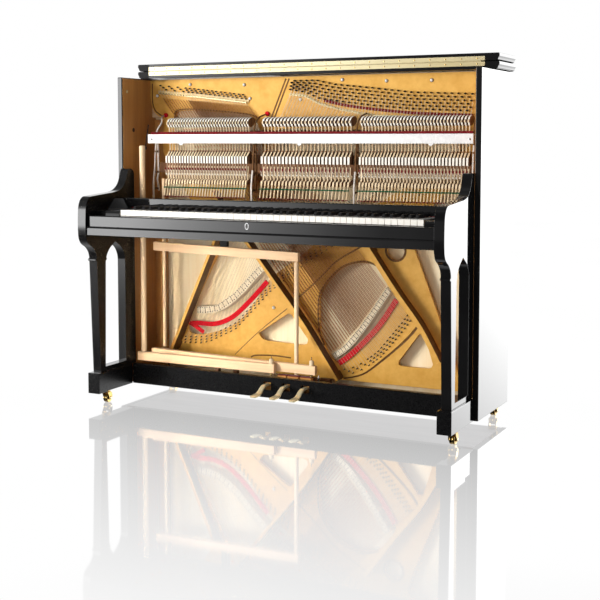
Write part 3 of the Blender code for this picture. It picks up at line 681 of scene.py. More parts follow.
def build_whippens():
    """Backchecks, bridle straps, whippens, jacks and stickers, one piece per section."""
    for section in SECTIONS:
        centres, pitch = unit_centres(section)
        body = "whippen_set_" + section
        row = Solid()
        for x in centres:
            wide = pitch * 0.29
            # the side faces of the backchecks, whippens, jacks and their blocks are painted dark brown as
            # painted shade
            for near, far, look in ((0.08, 0.0835, "leather"), (0.0836, 0.0875, "butt_and_shade_wood")):
                row.slab(rect(near, far, 0.9445, 0.973), x, wide, look, "painted_shade_wood")
            row.tube([(x, 0.0865, 0.9455), (x, 0.0835, 0.925), (x + 0.0015, 0.085, 0.89)], 0.0007,
                     "string_steel", 5)
            row.box((x - 0.003, x + 0.0026), (0.076, 0.0775), (0.917, 0.9265), "felt_dark_red")
            row.tube([(x - 0.0036, 0.0755, 0.918), (x + 0.001, 0.077, 0.906), (x + 0.0042, 0.079, 0.895)],
                     0.0008, "leather", 5)
            row.tube([(x + 0.004, 0.074, 0.913), (x - 0.002, 0.075, 0.902)], 0.0007, "string_steel", 5)
            row.lathe((x - 0.0005, 0.0815, 0.901), FORWARD, [(0, 0.0028), (0.004, 0.0028), (0.005, 0.0018)],
                      "leather", 8)
            lever = [(0.075, 0.864), (0.078, 0.86), (0.11, 0.868), (0.122, 0.88), (0.123, 0.89),
                     (0.112, 0.89), (0.096, 0.883), (0.079, 0.878)]
            row.slab(lever, x, LEVER_HALF, "action_wood", "butt_and_shade_wood")
            jack = [(0.093, 0.884), (0.099, 0.885), (0.101, 0.933), (0.0975, 0.9335)]
            row.slab(jack, x, 0.0024, "action_wood", "butt_and_shade_wood")
            row.slab(rect(0.109, 0.118, 0.8915, 0.903), x, LEVER_HALF, "action_wood", "butt_and_shade_wood")
            row.tube([(x, 0.079, 0.86), (x, 0.07, 0.84), (x, 0.064, 0.813)], 0.0029, "action_wood", 8)
            row.lathe((x, 0.064, 0.8135), DOWN, [(0, 0.0045), (0.0015, 0.005), (0.004, 0.005)],
                      "felt_dark_red", 10)
        piece("whippen_row_" + section, row, body, 0.0, ["whippens_" + section])
        cloth = Solid()
        low, high = centres[0] - pitch / 2, centres[-1] + pitch / 2
        cloth.box((low, high), (0.069, 0.0705), (0.845, 0.85), "felt_green")
        piece("sticker_rail_felt_" + section, cloth, body)


def build_dampers():
    """Damper levers with their wooden heads and white felts."""
    row = Solid()
    low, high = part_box("dampers")
    pitch = (high.x - low.x) / DAMPERS
    for i in range(DAMPERS):
        x = low.x + (i + 0.5) * pitch
        # painted shade: the damper levers and heads are dark brown, and so are the sides of the white felts
        row.slab([(0.143, 0.895), (0.15, 0.895), (0.159, 0.96), (0.159, 0.978), (0.151, 0.978),
                  (0.15, 0.96)], x, 0.0045, "butt_and_shade_wood")
        row.tube([(x, 0.155, 0.977), (x, 0.156, 1.035), (x, 0.162, 1.05)], 0.001, "string_steel", 6)
        for near, far, end, look in ((0.162, 0.171, 0.0, "painted_shade_wood"), (0.1712, 0.187, 0.001, "felt_white")):
            row.slab(rect(near, far, 1.03 + end, 1.074 - end), x, 0.0047, look, "painted_shade_wood")
    piece("damper_row", row, "damper_set", 0.0005, ["dampers"])


def bracket_shape(solid, x, lower, upper, crown, reach):
    """One cast action bracket: a bowed front post, a rear post, three ties and the arm to the plate."""
    for look, width, points in (
            (lower, 0.007, [(0.08, 0.709), (0.08, 0.806), (0.079, 0.853), (0.084, 0.889), (0.09, 0.918)]),
            (upper, 0.0065, [(0.09, 0.9182), (0.0925, 0.94), (0.0935, 0.965), (0.0975, 0.995),
                             (0.1015, 1.018)]), (crown, 0.0065, [(0.1015, 1.0182), (0.1015, 1.06)]),
            (crown, 0.006, [(0.118, 0.83), (0.113, 0.86), (0.11, 0.88), (0.1165, 0.905),
                            (0.116, 0.96), (0.115, 1.005), (0.108, 1.056)])):
        solid.slab(strip(smooth_path(points, 4), width), x, 0.0026, look)
    # the three ties between the posts are painted dark brown as painted shade
    for z, y0, y1 in ((0.84, 0.081, 0.118), (0.907, 0.089, 0.118), (0.99, 0.093, 0.118)):
        solid.box((x - 0.0022, x + 0.0022), (y0, y1), (z - 0.004, z + 0.004), "painted_shade_brown")
    arm = smooth_path([(x, 0.1015, 1.057), (x + 0.35 * reach[0], 0.1045, 1.08), (x + reach[0], 0.118, 1.106),
                       (x + 0.5 * (reach[0] + reach[1]), 0.15, 1.127), (x + reach[1], 0.196, 1.137)], 5)
    solid.tube(arm, 0.0034, crown, 8)
    for side in (-1, 1):
        solid.screw((x + side * 0.0024, 0.0915, 0.907), (side, 0, 0), 0.004)


def build_action_frame():
    """Brackets, the hammer rest rail with its felt, and the main rail."""
    for i in range(1, 5):
        low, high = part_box("action_bracket_%d" % i)
        cast = Solid()
        # painted shade: dark brown on the upper posts of brackets 2 and 3, and on the crowns and arms of
        # brackets 2 to 4; the casting's own paint is the light one
        upper = "bracket_paint" if i in (1, 4) else "painted_shade_brown"
        crown = "bracket_paint" if i == 1 else "painted_shade_brown"
        reach = (0.016, -0.024) if i == 1 else (0.0, 0.0)
        bracket_shape(cast, (low.x + high.x) / 2, "bracket_paint", upper, crown, reach)
        piece("action_bracket_casting_%d" % i, cast, "case", 0.0008, ["action_bracket_%d" % i])
    # the main rail is dark brown as painted shade behind the gaps in the action
    remake("action_rail", "action_main_rail", "butt_and_shade_wood", bevel=0.001)
    low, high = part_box("hammer_rail")
    rail = Solid()
    y0, y1 = low.y - DEPTH, high.y - DEPTH
    rail.box((low.x, high.x), (y0, y1 - 0.002), (low.z, high.z), "silver_paint")
    piece("hammer_rest_rail", rail, "rest_rail", 0.0012, ["hammer_rail"])
    trim = Solid()
    trim.box((low.x + 0.012, high.x - 0.004), (y1 - 0.0055, y1 + 0.0005), (high.z, high.z + 0.0095),
             "felt_dark_red")
    trim.box((low.x + 0.012, high.x - 0.004), (y1 - 0.0019, y1), (low.z + 0.004, high.z), "felt_dark_red")
    for x in (-0.65, 0.693):
        trim.screw((x, y0, 1.0395), FORWARD, 0.0042)
    for x in (-0.512, 0.017, 0.546):
        trim.prism([(x - 0.01, low.z), (x + 0.01, low.z), (x + 0.004, low.z - 0.0075),
                    (x - 0.004, low.z - 0.0075)], "y", y0 + 0.002, y0 + 0.007, "silver_paint")
    piece("rest_rail_trim", trim, "rest_rail")


# ---------------------------------------------------------------- plate and strings

PLATE_FACE = 0.2
BASS_LINE = 0.1889
PLAIN_LINE = 0.1914
BASS_AGRAFFES = [(-0.688, 1.2285), (-0.48, 1.2085), (-0.272, 1.185)]
BASS_BRIDGE = [(0.112, 0.196), (0.165, 0.235), (0.228, 0.308), (0.29, 0.395), (0.342, 0.472)]
BASS_HITCHES = [(0.15, 0.146), (0.19, 0.158), (0.232, 0.18), (0.295, 0.228), (0.345, 0.287), (0.395, 0.348),
                (0.425, 0.39)]
PLAIN_AGRAFFES = [(-0.083, 1.214), (-0.016, 1.207), (0.05, 1.176), (0.148, 1.151), (0.276, 1.1285),
                  (0.47, 1.122), (0.664, 1.118)]
PLAIN_BRIDGE = [(-0.512, 0.338), (-0.47, 0.34), (-0.41, 0.352), (-0.33, 0.405), (-0.22, 0.515),
                (-0.05, 0.65), (0.15, 0.775), (0.35, 0.885), (0.52, 0.965), (0.612, 1.015)]
PLAIN_HITCHES = [(-0.576, 0.222), (-0.481, 0.228), (-0.442, 0.238), (-0.326, 0.298), (-0.168, 0.46),
                 (0.0, 0.59), (0.2, 0.715), (0.4, 0.83), (0.56, 0.92), (0.65, 0.975)]
PIN_TOP = [(-0.083, 1.266), (0.037, 1.266), (0.116, 1.249), (0.276, 1.232), (0.431, 1.213), (0.664, 1.203)]
PIN_BOTTOM = [(-0.083, 1.234), (-0.016, 1.222), (0.05, 1.196), (0.244, 1.17), (0.431, 1.152), (0.664, 1.142)]
BASS_NOTES = 30
PLAIN_NOTES = 58
SINGLE_NOTES = 9        # lowest notes with one string each; the other bass notes have two
PAIR_GAP = 0.42         # between a note's two bass strings, in notes
TRIPLE_GAP = 0.21       # between a note's three plain strings, in notes
PIN_ROWS = 3            # of tuning pins and hitch pins for the bass
AGRAFFE_SHARE = 0.42    # of the plain notes that run through agraffes
STRING_END = PLATE_FACE - 0.004
COIL_DEPTH = PLATE_FACE - 0.005


def tuning_pin(solid, x, z, face, string_radius, out, radius):
    """Square-ended pin with three turns of wire near the plate."""
    solid.lathe((x, face, z), FORWARD,
                [(-0.004, radius), (out - 0.007, radius), (out - 0.0058, radius * 0.83),
                 (out - 0.0005, radius * 0.72), (out, radius * 0.55)], "blued_steel", 8)
    for turn in range(3):
        start = 0.003 + turn * 2.1 * string_radius
        solid.lathe((x, face, z), FORWARD,
                    [(start, radius * 0.97), (start + string_radius * 0.6, radius + string_radius),
                     (start + string_radius * 1.5, radius * 0.92 + string_radius),
                     (start + string_radius * 2.1, radius * 0.92)], "coil_steel", 8)


def hitch_pin(solid, x, z, face):
    """Short slanted pin with the string's loop round it."""
    solid.tube([(x, face + 0.003, z), (x - 0.0006, face - 0.006, z - 0.0012),
                (x - 0.001, face - 0.01, z - 0.0022)], 0.0016, "blued_steel", 6)
    solid.lathe((x, face - 0.0012, z), FORWARD, [(0, 0.0026), (0.0012, 0.0032), (0.0026, 0.0026)],
                "blued_steel", 8)


def at_depth(spot, depth):
    """A point of the plate's drawing, (x, z), put at a depth."""
    return (spot[0], depth, spot[1])


def past(cross, end, extra):
    """The point that lies further on, beyond end, on the line from cross."""
    run = math.dist(cross, end)
    return tuple(e + (e - c) / run * extra for e, c in zip(end, cross))


def build_strings():
    """Bass strings and plain strings with their tuning pins, agraffes and hitch pins."""
    bass, plain, pins, hitches = Solid(), Solid(), Solid(), Solid()
    guides = Solid()
    bass_strings = []
    for note in range(BASS_NOTES):
        copies = 1 if note < SINGLE_NOTES else 2
        for copy in range(copies):
            bass_strings.append(note + (copy - (copies - 1) / 2) * PAIR_GAP)
    for order, spot in enumerate(bass_strings):
        share = (spot + 0.5) / BASS_NOTES
        top = along(BASS_AGRAFFES, share)
        cross = along(BASS_BRIDGE, share)
        end = past(cross, along(BASS_HITCHES, share), 0.011 * (order % PIN_ROWS))
        radius = 0.0022 - 0.0012 * share
        pin = (top[0] - 0.002, top[1] + 0.033 - 0.0075 * (order % PIN_ROWS) - 0.004 * share)
        tuning_pin(pins, pin[0], pin[1], PLATE_FACE, 0.0004, 0.012, 0.003)
        start, first, last, rest = (at_depth(spot, BASS_LINE) for spot in (
            top, along([top, cross], 0.02), along([top, cross], 0.985), cross))
        bass.tube([(pin[0] + 0.0035, COIL_DEPTH, pin[1]), start], 0.0006, "string_steel", 5)
        bass.tube([start, first], 0.0006, "string_steel", 5)
        bass.tube([first, last], radius, "copper_wound", 8)
        bass.tube([last, rest, at_depth(end, STRING_END)], 0.0006, "string_steel", 5)
        guides.lathe((top[0], PLATE_FACE - 0.001, top[1]), FORWARD,
                     [(0, 0.003), (0.005, 0.003), (0.0052, 0.0036), (0.0125, 0.0036), (0.014, 0.0028)],
                     "brass_pale", 10)
        hitch_pin(hitches, end[0], end[1], PLATE_FACE)
    for note in range(PLAIN_NOTES):
        share = (note + 0.5) / PLAIN_NOTES
        step = TRIPLE_GAP / PLAIN_NOTES
        radius = 0.0005 - 0.00012 * share
        for copy in range(3):
            at = min(max(share + (copy - 1) * step, 0.0), 1.0)
            top = along(PLAIN_AGRAFFES, at)
            cross = along(PLAIN_BRIDGE, at)
            end = past(cross, along(PLAIN_HITCHES, at), 0.014 * copy)
            row = copy * 2 + note % 2
            high, low = along(PIN_TOP, at), along(PIN_BOTTOM, at)
            x = top[0] + 0.002
            pin_z = low[1] + (high[1] - low[1]) * (row / 5.0)
            tuning_pin(pins, x, pin_z, PLATE_FACE, 0.0005, 0.018, 0.0036)
            plain.tube([(x + 0.0033, COIL_DEPTH, pin_z), at_depth(top, PLAIN_LINE),
                        at_depth(cross, PLAIN_LINE), at_depth(end, STRING_END)], radius, "string_steel", 5)
            hitch_pin(hitches, end[0], end[1], PLATE_FACE)
            if share < AGRAFFE_SHARE:
                guides.lathe((top[0], PLATE_FACE - 0.001, top[1]), FORWARD,
                             [(0, 0.0018), (0.005, 0.0018), (0.0052, 0.0022), (0.0105, 0.0022)],
                             "brass_pale", 8)
    piece("bass_strings", bass, "case", 0.0, ["strings_bass"])
    piece("plain_strings", plain, "case", 0.0, ["strings_plain"])
    piece("tuning_pins", pins)
    piece("hitch_pins", hitches)
    piece("agraffes", guides)


def build_plate():
    """The gold casting with soft edges, its bolts, felts, raised bars, cloth washers, and painted shadow
    lines along its raised edges.
    """
    casting = remake("plate", "iron_plate", "gold_iron", bevel=0.0016, segments=3)
    # the ribs' side faces are painted dark brown as painted shade; the casting itself is gold all over
    repaint(casting, "rib_side_shade",
            lambda face: face.center.y - DEPTH < PLATE_FACE - 0.002 and abs(face.normal.y) < 0.5)
    remake("pin_block", "pin_block_board", "maple_x", bevel=0.001)
    detail = Solid()
    bar = [(-0.695, 1.2345), (-0.48, 1.215), (-0.266, 1.1905)]
    ribbon(detail, smooth_path(bar, 8), 0.0135, PLATE_FACE - 0.0045, PLATE_FACE + 0.002, "cream_paint")
    ledge = smooth_path(PLAIN_AGRAFFES[:5], 6)
    ribbon(detail, ledge, 0.011, PLATE_FACE - 0.0035, PLATE_FACE + 0.002, "cream_paint")
    press = smooth_path([(0.276, 1.1275), (0.47, 1.121), (0.668, 1.1165)], 6)
    ribbon(detail, press, 0.008, PLATE_FACE - 0.014, PLATE_FACE - 0.0095, "brass_pale")
    back = PLATE_FACE + 0.001
    # the dark brown ribbons from here to the round hole are painted shadow lines along the plate's raised
    # edges and rims
    for shift in (-0.007, 0.007):
        ribbon(detail, [(-0.094 + shift, 1.276), (-0.159 + shift, 1.124)], 0.0068, PLATE_FACE - 0.0006, back,
               "painted_shade_brown")
    edge = smooth_path([(-0.726, 1.27), (-0.726, 1.195), (-0.714, 1.16), (-0.698, 1.147), (-0.678, 1.134)],
                       5)
    ribbon(detail, edge, 0.0058, PLATE_FACE - 0.0006, back, "painted_shade_brown")
    rim = smooth_path([(-0.617, 1.115), (-0.616, 1.145), (-0.604, 1.158), (-0.56, 1.1625), (-0.47, 1.158),
                       (-0.386, 1.1515), (-0.3, 1.143), (-0.25, 1.134), (-0.222, 1.122)], 5)
    ribbon(detail, rim, 0.0052, PLATE_FACE - 0.003, back, "painted_shade_brown")
    for path, width in (
            ([(-0.337, 0.164), (-0.225, 0.267), (-0.096, 0.369)], 0.0034),
            ([(-0.262, 0.16), (-0.235, 0.17), (-0.148, 0.175), (-0.08, 0.172)], 0.006),
            ([(-0.06, 0.405), (-0.042, 0.42), (0.038, 0.49), (0.116, 0.565), (0.2, 0.616),
              (0.245, 0.64)], 0.0065),
            ([(0.068, 0.236), (0.044, 0.298), (0.043, 0.415), (0.061, 0.461), (0.094, 0.504), (0.143, 0.547),
              (0.202, 0.568), (0.252, 0.571), (0.302, 0.552)], 0.0075),
            ([(0.15, 0.112), (0.232, 0.135), (0.308, 0.191), (0.382, 0.255), (0.432, 0.305),
              (0.462, 0.345)], 0.0075)):
        ribbon(detail, smooth_path(path, 5), width, PLATE_FACE - 0.0005, back, "painted_shade_brown")
    arc = [(0.15, 0.118), (0.229, 0.141), (0.303, 0.197), (0.376, 0.261), (0.425, 0.311), (0.456, 0.352)]
    ribbon(detail, smooth_path(arc, 5), 0.0085, PLATE_FACE - 0.0045, back, "gold_iron")
    hole = [(0.365 + 0.04 * math.cos(t), 0.62 + 0.04 * math.sin(t)) for t in turns(24)]
    ribbon(detail, hole + hole[:1], 0.0085, PLATE_FACE - 0.0008, back, "painted_shade_brown")
    piece("plate_bars", detail, bevel=0.0006)
    bolts = Solid()
    for x, z in ((-0.701, 1.219), (-0.541, 1.262), (-0.288, 1.256), (-0.262, 1.201), (-0.037, 1.194),
                 (0.142, 1.266), (0.324, 1.258), (0.504, 1.256), (-0.157, 0.369)):
        # a thin dark brown disc under each head: a painted shadow ring on the plate
        bolts.lathe((x, PLATE_FACE, z), FORWARD, [(0, 0.0075), (0.0008, 0.0075), (0.001, 0.0066)],
                    "painted_shade_brown", 18)
        bolts.lathe((x, PLATE_FACE - 0.001, z), FORWARD, [(0, 0.006), (0.003, 0.0056), (0.0052, 0.004),
                                                          (0.006, 0.0018)], "silver_paint", 18)
    piece("plate_bolts", bolts)
    cloth = Solid()
    for x, z in ((-0.659, 1.138), (-0.183, 1.14)):
        cloth.lathe((x, PLATE_FACE, z), FORWARD, [(0, 0.0095), (0.006, 0.0095), (0.0075, 0.008),
                                                  (0.0078, 0.003)], "felt_red", 20)
    tenor = smooth_path([(-0.537, 0.281), (-0.5, 0.283), (-0.434, 0.284), (-0.38, 0.3), (-0.326, 0.332),
                         (-0.25, 0.402), (-0.183, 0.473)], 6)
    ribbon(cloth, tenor, 0.0195, 0.1925, 0.1975, "felt_red")
    ribbon(cloth, [(-0.548, 0.282), (-0.515, 0.266), (-0.48, 0.246)], 0.0165, 0.1922, 0.1972, "felt_red")
    bass = smooth_path([(0.132, 0.17), (0.181, 0.206), (0.25, 0.272), (0.311, 0.342), (0.372, 0.434)], 6)
    ribbon(cloth, bass, 0.0215, 0.1925, 0.1985, "felt_red")
    treble = smooth_path([(0.067, 1.188), (0.15, 1.17), (0.244, 1.156), (0.431, 1.137), (0.664, 1.126)], 6)
    ribbon(cloth, treble, 0.0105, 0.1925, 0.1995, "felt_dark_red")
    piece("string_felts", cloth, bevel=0.0008)


RIBS = 10
RIB_LOWEST = 0.18
RIB_PITCH = 0.098


def build_bridges():
    """Bridges with their pins, soundboard with its ribs and liners, and the back frame."""
    remake("bridge_bass", "bass_bridge_cap", "bridge_wood", bevel=0.001)
    remake("bridge_treble", "long_bridge_cap", "bridge_wood", bevel=0.001)
    pins = Solid()
    for node_name, path, count, half in (("bridge_bass", BASS_BRIDGE, 46, 0.0085),
                                         ("bridge_treble", PLAIN_BRIDGE, 116, 0.0095)):
        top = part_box(node_name)[0].y - DEPTH
        for i in range(count):
            share = (i + 0.5) / count
            x, z = along(path, share)
            ahead, behind = along(path, min(share + 0.01, 1)), along(path, max(share - 0.01, 0))
            size = math.dist(ahead, behind)
            nx, nz = (behind[1] - ahead[1]) / size, (ahead[0] - behind[0]) / size
            for sign in (-1, 1):
                pins.tube([(x + sign * nx * half, top + 0.003, z + sign * nz * half),
                           (x + sign * nx * half, top - 0.005, z + sign * nz * half)], 0.0013, "blued_steel",
                          5)
            # every other pin pair gets a dark brown bar across the bridge top: painted shade between the
            # pins
            if i % 2:
                pins.tube([(x - nx * half * 1.3, top, z - nz * half * 1.3),
                           (x + nx * half * 1.3, top, z + nz * half * 1.3)], 0.0013, "painted_shade_brown", 5)
    piece("bridge_pins", pins)
    remake("soundboard", "soundboard_panel", "spruce", bevel=0.0)
    ribs = Solid()
    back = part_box("soundboard")[1].y - DEPTH
    for i in range(RIBS):
        z = RIB_LOWEST + i * RIB_PITCH
        ribs.prism([(-0.7, z - 0.06), (0.7, z + 0.06), (0.7, z + 0.082), (-0.7, z - 0.038)], "y",
                   back + 0.0002, back + 0.0074, "spruce")
    piece("soundboard_ribs", ribs, bevel=0.001)
    remake("back_frame", "back_posts", "pine", bevel=0.003)
    liner = Solid()
    for side in (-1, 1):
        x = sorted((side * 0.678, side * 0.7365))
        liner.box(x, (0.226, 0.2395), (0.08, 1.12), "veneer")
    piece("soundboard_liners", liner, bevel=0.002)


# ---------------------------------------------------------------- trapwork

def build_trapwork():
    """Wooden levers with their adjusting nuts, the rods, and the wire at the top of the soft rod."""
    look = "beech_x"
    for kind in ("soft", "sustain", "mute"):
        beam = Solid()
        if kind == "soft":
            beam.box((-0.694, -0.0645), (0.026, 0.046), (0.1415, 0.1765), look)
            tip = (-0.0805, 0.036, 0.1765)
        elif kind == "sustain":
            beam.prism([(-0.642, 0.156), (-0.642, 0.191), (0.0995, 0.179), (0.0995, 0.144)], "y", 0.05,
                       0.07, look)
            beam.box((-0.632, -0.592), (0.0702, 0.114), (0.162, 0.184), look)
            tip = (0.0805, 0.06, 0.179)
        else:
            beam.prism([(-0.645, 0.589), (-0.645, 0.6235), (0.015, 0.6075), (0.015, 0.572)], "y", 0.073,
                       0.093, look)
            tip = None
        piece("trap_%s_beam" % kind, beam, "trap_lever_" + kind, 0.0018, ["lever_" + kind], 3)
        if tip:
            knob = Solid()
            x, y, z = tip
            knob.lathe((x, y, z), UP, [(0, 0.0125), (0.0012, 0.0125), (0.0013, 0.009), (0.0165, 0.0088),
                                       (0.0195, 0.007), (0.0205, 0.004)], "action_wood", 20)
            knob.tube([(x, y, z - 0.062), (x, y, z + 0.033)], 0.0016, "steel", 8)
            knob.lathe((x, y, z - 0.0365), DOWN, [(0, 0.006), (0.004, 0.006), (0.0042, 0.0045),
                                                  (0.009, 0.0045)], "brass", 6)
            piece("trap_%s_nut" % kind, knob, "trap_lever_" + kind)
    for kind in ("soft", "sustain", "mute"):
        low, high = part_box("dowel_" + kind)
        x, y = (low.x + high.x) / 2, (low.y + high.y) / 2 - DEPTH
        radius = (high.x - low.x) / 2
        rod = Solid()
        rod.lathe((x, y, low.z), UP, [(0, radius * 0.75), (0.003, radius), (high.z - low.z - 0.003, radius),
                                      (high.z - low.z, radius * 0.75)], "beech_z", 20)
        piece("trap_%s_rod" % kind, rod, "trap_dowel_" + kind, 0.0, ["dowel_" + kind])
    wire = Solid()
    wire.tube([(-0.661, 0.05, 1.008), (-0.655, 0.05, 1.05), (-0.6475, 0.052, 1.098)], 0.0022,
              "blued_steel", 8)
    wire.lathe((-0.661, 0.05, 0.998), (0.1, 0, 1), [(0, 0.0045), (0.01, 0.0045), (0.012, 0.0025)],
               "blued_steel", 10)
    wire.tube([(-0.661, 0.05, 1.0), (-0.668, 0.036, 0.996)], 0.002, "blued_steel", 8)
    piece("soft_rod_wire", wire, "trap_dowel_soft")


def build_rail_blocks():
    """Felted stop blocks and a stud with its nut, behind the bottom rail and under the levers."""
    stops = Solid()
    for x0, x1 in ((-0.064, -0.024), (-0.02, 0.028), (0.034, 0.082)):
        stops.box((x0, x1), (0.052, 0.072), (0.0735, 0.131), "veneer")
        stops.box((x0, x1), (0.052, 0.072), (0.1311, 0.1345), "felt_dark_red")
    stops.lathe((0.11, 0.062, 0.0735), UP, [(0, 0.003), (0.055, 0.003), (0.055, 0.0075), (0.063, 0.0075),
                                            (0.063, 0.0035), (0.07, 0.003)], "steel", 6)
    piece("pedal_stop_blocks", stops, bevel=0.001)


PEDAL_SPACING = 0.0815
# depth, height, half thickness and half width down the middle of a pedal, from its pivot to its toe
PEDAL_LINE = [
    (0.164, 0.094, 0.006, 0.011), (0.03, 0.1012, 0.0048, 0.009), (-0.012, 0.102, 0.0048, 0.009),
    (-0.028, 0.0998, 0.0047, 0.0098), (-0.042, 0.0928, 0.0045, 0.0104), (-0.056, 0.0835, 0.0042, 0.0114),
    (-0.07, 0.078, 0.0042, 0.0134), (-0.085, 0.0765, 0.0044, 0.0152), (-0.1, 0.076, 0.0044, 0.0152),
    (-0.11, 0.0757, 0.0038, 0.0132), (-0.115, 0.0757, 0.0022, 0.0085)]


def build_pedals():
    """Cast brass pedals with a narrow neck and a rounded toe."""
    for tag, x in (("left", -PEDAL_SPACING), ("middle", 0.0), ("right", PEDAL_SPACING)):
        shape = Solid()
        rings = []
        for y, z, thick, half in smooth_path(PEDAL_LINE, 4):
            ring = []
            for t in turns(16):
                c, s = math.cos(t), math.sin(t)
                ring.append((x + half * math.copysign(abs(c) ** 0.5, c), y,
                             z + thick * math.copysign(abs(s) ** 0.7, s)))
            rings.append(ring)
        shape.loft(rings, "pedal_brass")
        piece("pedal_casting_" + tag, shape, "pedal_%s_lever" % tag, 0.0, ["pedal_" + tag])


# ---------------------------------------------------------------- casters

def build_casters():
    """Brass casters: plate, swivel stem, curved fork and a grooved wheel."""
    radius = (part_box("caster_wheel_front_left")[1].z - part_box("caster_wheel_front_left")[0].z) / 2
    for tag in ("front_left", "front_right", "rear_left", "rear_right"):
        low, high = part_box("caster_wheel_" + tag)
        x, y, z = (low.x + high.x) / 2, (low.y + high.y) / 2 - DEPTH, radius
        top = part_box("caster_fork_" + tag)[1].z
        wheel = Solid()
        wheel.lathe((x - 0.011, y, z), (1, 0, 0), [
            (0.0, 0.004), (0.0, 0.009), (0.001, 0.0098), (0.0014, 0.0135), (0.0008, 0.0155),
            (0.0024, 0.0174), (0.005, radius), (0.0085, radius), (0.01, 0.0168), (0.012, 0.0168),
            (0.0135, radius), (0.017, radius), (0.0196, 0.0174), (0.0212, 0.0155), (0.0206, 0.0135),
            (0.021, 0.0098), (0.022, 0.009), (0.022, 0.004)], "caster_brass", 36)
        piece("caster_roller_" + tag, wheel, "caster_%s_roller" % tag, 0.0, ["caster_wheel_" + tag])
        fork = Solid()
        stem = y - 0.009
        fork.lathe((x, stem, 0.04), UP, [(0, 0.014), (0.002, 0.0175), (0.0045, 0.0175), (0.006, 0.014),
                                         (top - 0.041, 0.014), (top - 0.04, 0.0175)], "caster_brass", 24)
        cheek = smooth_path([(stem - 0.0105, 0.044), (stem + 0.0105, 0.044), (y + 0.0105, 0.03),
                             (y + 0.0085, 0.015), (y, 0.0105), (y - 0.0085, 0.015), (y - 0.011, 0.028),
                             (stem - 0.0105, 0.044)], 4)[:-1]
        for side in (-1, 1):
            a, b = sorted((x + side * 0.012, x + side * 0.0152))
            fork.prism(cheek, "x", a, b, "caster_brass")
            fork.lathe((x + side * 0.0152, y, z), (side, 0, 0),
                       [(0, 0.006), (0.0014, 0.006), (0.003, 0.0035)], "pedal_brass", 14)
        fork.tube([(x - 0.0152, y, z), (x + 0.0152, y, z)], 0.0028, "steel", 12)
        piece("caster_yoke_" + tag, fork, "caster_%s_swivel" % tag, 0.0004, ["caster_fork_" + tag])


# ---------------------------------------------------------------- stage

def area_light(name, place, target, size, power, colour=(1, 1, 1)):
    """Soft box aimed at a point."""
    data = bpy.data.lights.new(name, "AREA")
    data.shape = "RECTANGLE"
    data.size, data.size_y = size
    data.energy = power
    data.color = colour
    obj = bpy.data.objects.new(name, data)
    obj.location = place
    obj.rotation_euler = (Vector(target) - Vector(place)).to_track_quat("-Z", "Y").to_euler()
    obj.visible_camera = False
    obj.visible_glossy = False
    bpy.context.scene.collection.objects.link(obj)
    return obj


FADE_START, FADE_END = -0.2, -2.2   # depth over which the floor's mirror fades towards the camera


def build_stage():
    """Pale glossy floor, bright studio surround and soft boxes."""
    tree, _, place = new_look("studio_floor", 0.04)
    cloud = noise(tree, place, 0.7)
    shine = node(tree, "BsdfGlossy", [
        ("Color", ramp(tree, cloud, [(0.3, (0.97, 0.97, 0.97)), (0.7, (1.0, 1.0, 1.0))])),
        ("Roughness", spread(tree, noise(tree, place, 40.0), 0.03, 0.05))])
    plain = node(tree, "Emission", in_Strength=1.0)
    # the mirror fades out towards the front of the sweep
    depth = node(tree, "SeparateXYZ", [("Vector", place)]).outputs["Y"]
    fade = node(tree, "MapRange", [("Value", depth)], in_From_Min=FADE_START, in_From_Max=FADE_END,
                in_To_Min=0.52, in_To_Max=1.0)
    mixed = node(tree, "MixShader", [(0, fade.outputs["Result"]), (1, shine.outputs["BSDF"]),
                                     (2, plain.outputs["Emission"])])
    tree.links.new(mixed.outputs["Shader"], tree.nodes["Material Output"].inputs["Surface"])
    mesh = bpy.data.meshes.new("studio_floor")
    mesh.from_pydata([(-9, -3.6, 0), (9, -3.6, 0), (9, 14, 0), (-9, 14, 0)], [], [(0, 1, 2, 3)])
    floor = bpy.data.objects.new("studio_floor", mesh)
    mesh.materials.append(LOOKS["studio_floor"])
    floor.visible_glossy = False
    bpy.context.scene.collection.objects.link(floor)

    scene = bpy.context.scene
    scene.view_settings.view_transform = "Standard"
    world = bpy.data.worlds.new("studio")
    scene.world = world
    world.use_nodes = True
    tree = world.node_tree
    back = tree.nodes["Background"]
    place = node(tree, "TexCoord").outputs["Generated"]
    parts = node(tree, "SeparateXYZ", [("Vector", place)])
    path = node(tree, "LightPath")
    back.inputs["Color"].default_value = (1, 1, 1, 1)
    mirror = mirror_strength(tree, parts)
    side = node(tree, "MapRange", [("Value", parts.outputs["X"])], in_From_Min=-0.8, in_From_Max=0.8,
                in_To_Min=0.62, in_To_Max=0.03)
    pick = node(tree, "Mix", [(0, path.outputs["Is Glossy Ray"]), (2, side.outputs["Result"]),
                              (3, mirror)], data_type="FLOAT")
    clear = node(tree, "Mix", [(0, path.outputs["Is Camera Ray"]), (2, pick.outputs[0])], data_type="FLOAT")
    clear.inputs[3].default_value = 1.0
    tree.links.new(clear.outputs[0], back.inputs["Strength"])

    area_light("key_box", (-3.0, -3.2, 2.7), (-0.1, 0.0, 0.95), (1.3, 1.3), 120)
    area_light("low_box", (-2.3, -3.0, 0.95), (0.1, 0.1, 0.45), (1.2, 0.7), 118, (1.0, 0.95, 0.88))
    area_light("fill_box", (1.1, -3.5, 0.8), (0.25, 0.2, 0.35), (1.0, 0.6), 16, (1.0, 0.88, 0.76))
    glow = area_light("board_glow", (-0.55, -3.3, 0.42), (-0.66, 0.1, 0.4), (0.4, 0.4), 1.4,
                      (1.0, 0.9, 0.72))
    glow.data.spread = math.radians(24)


def spread_range(tree, value, low, high):
    """Map low to high onto 0 to 1."""
    return node(tree, "MapRange", [("Value", value)], in_From_Min=low, in_From_Max=high).outputs["Result"]


MIRROR_GAIN = 6.0   # brightest part of the surround, as a reflecting surface sees it


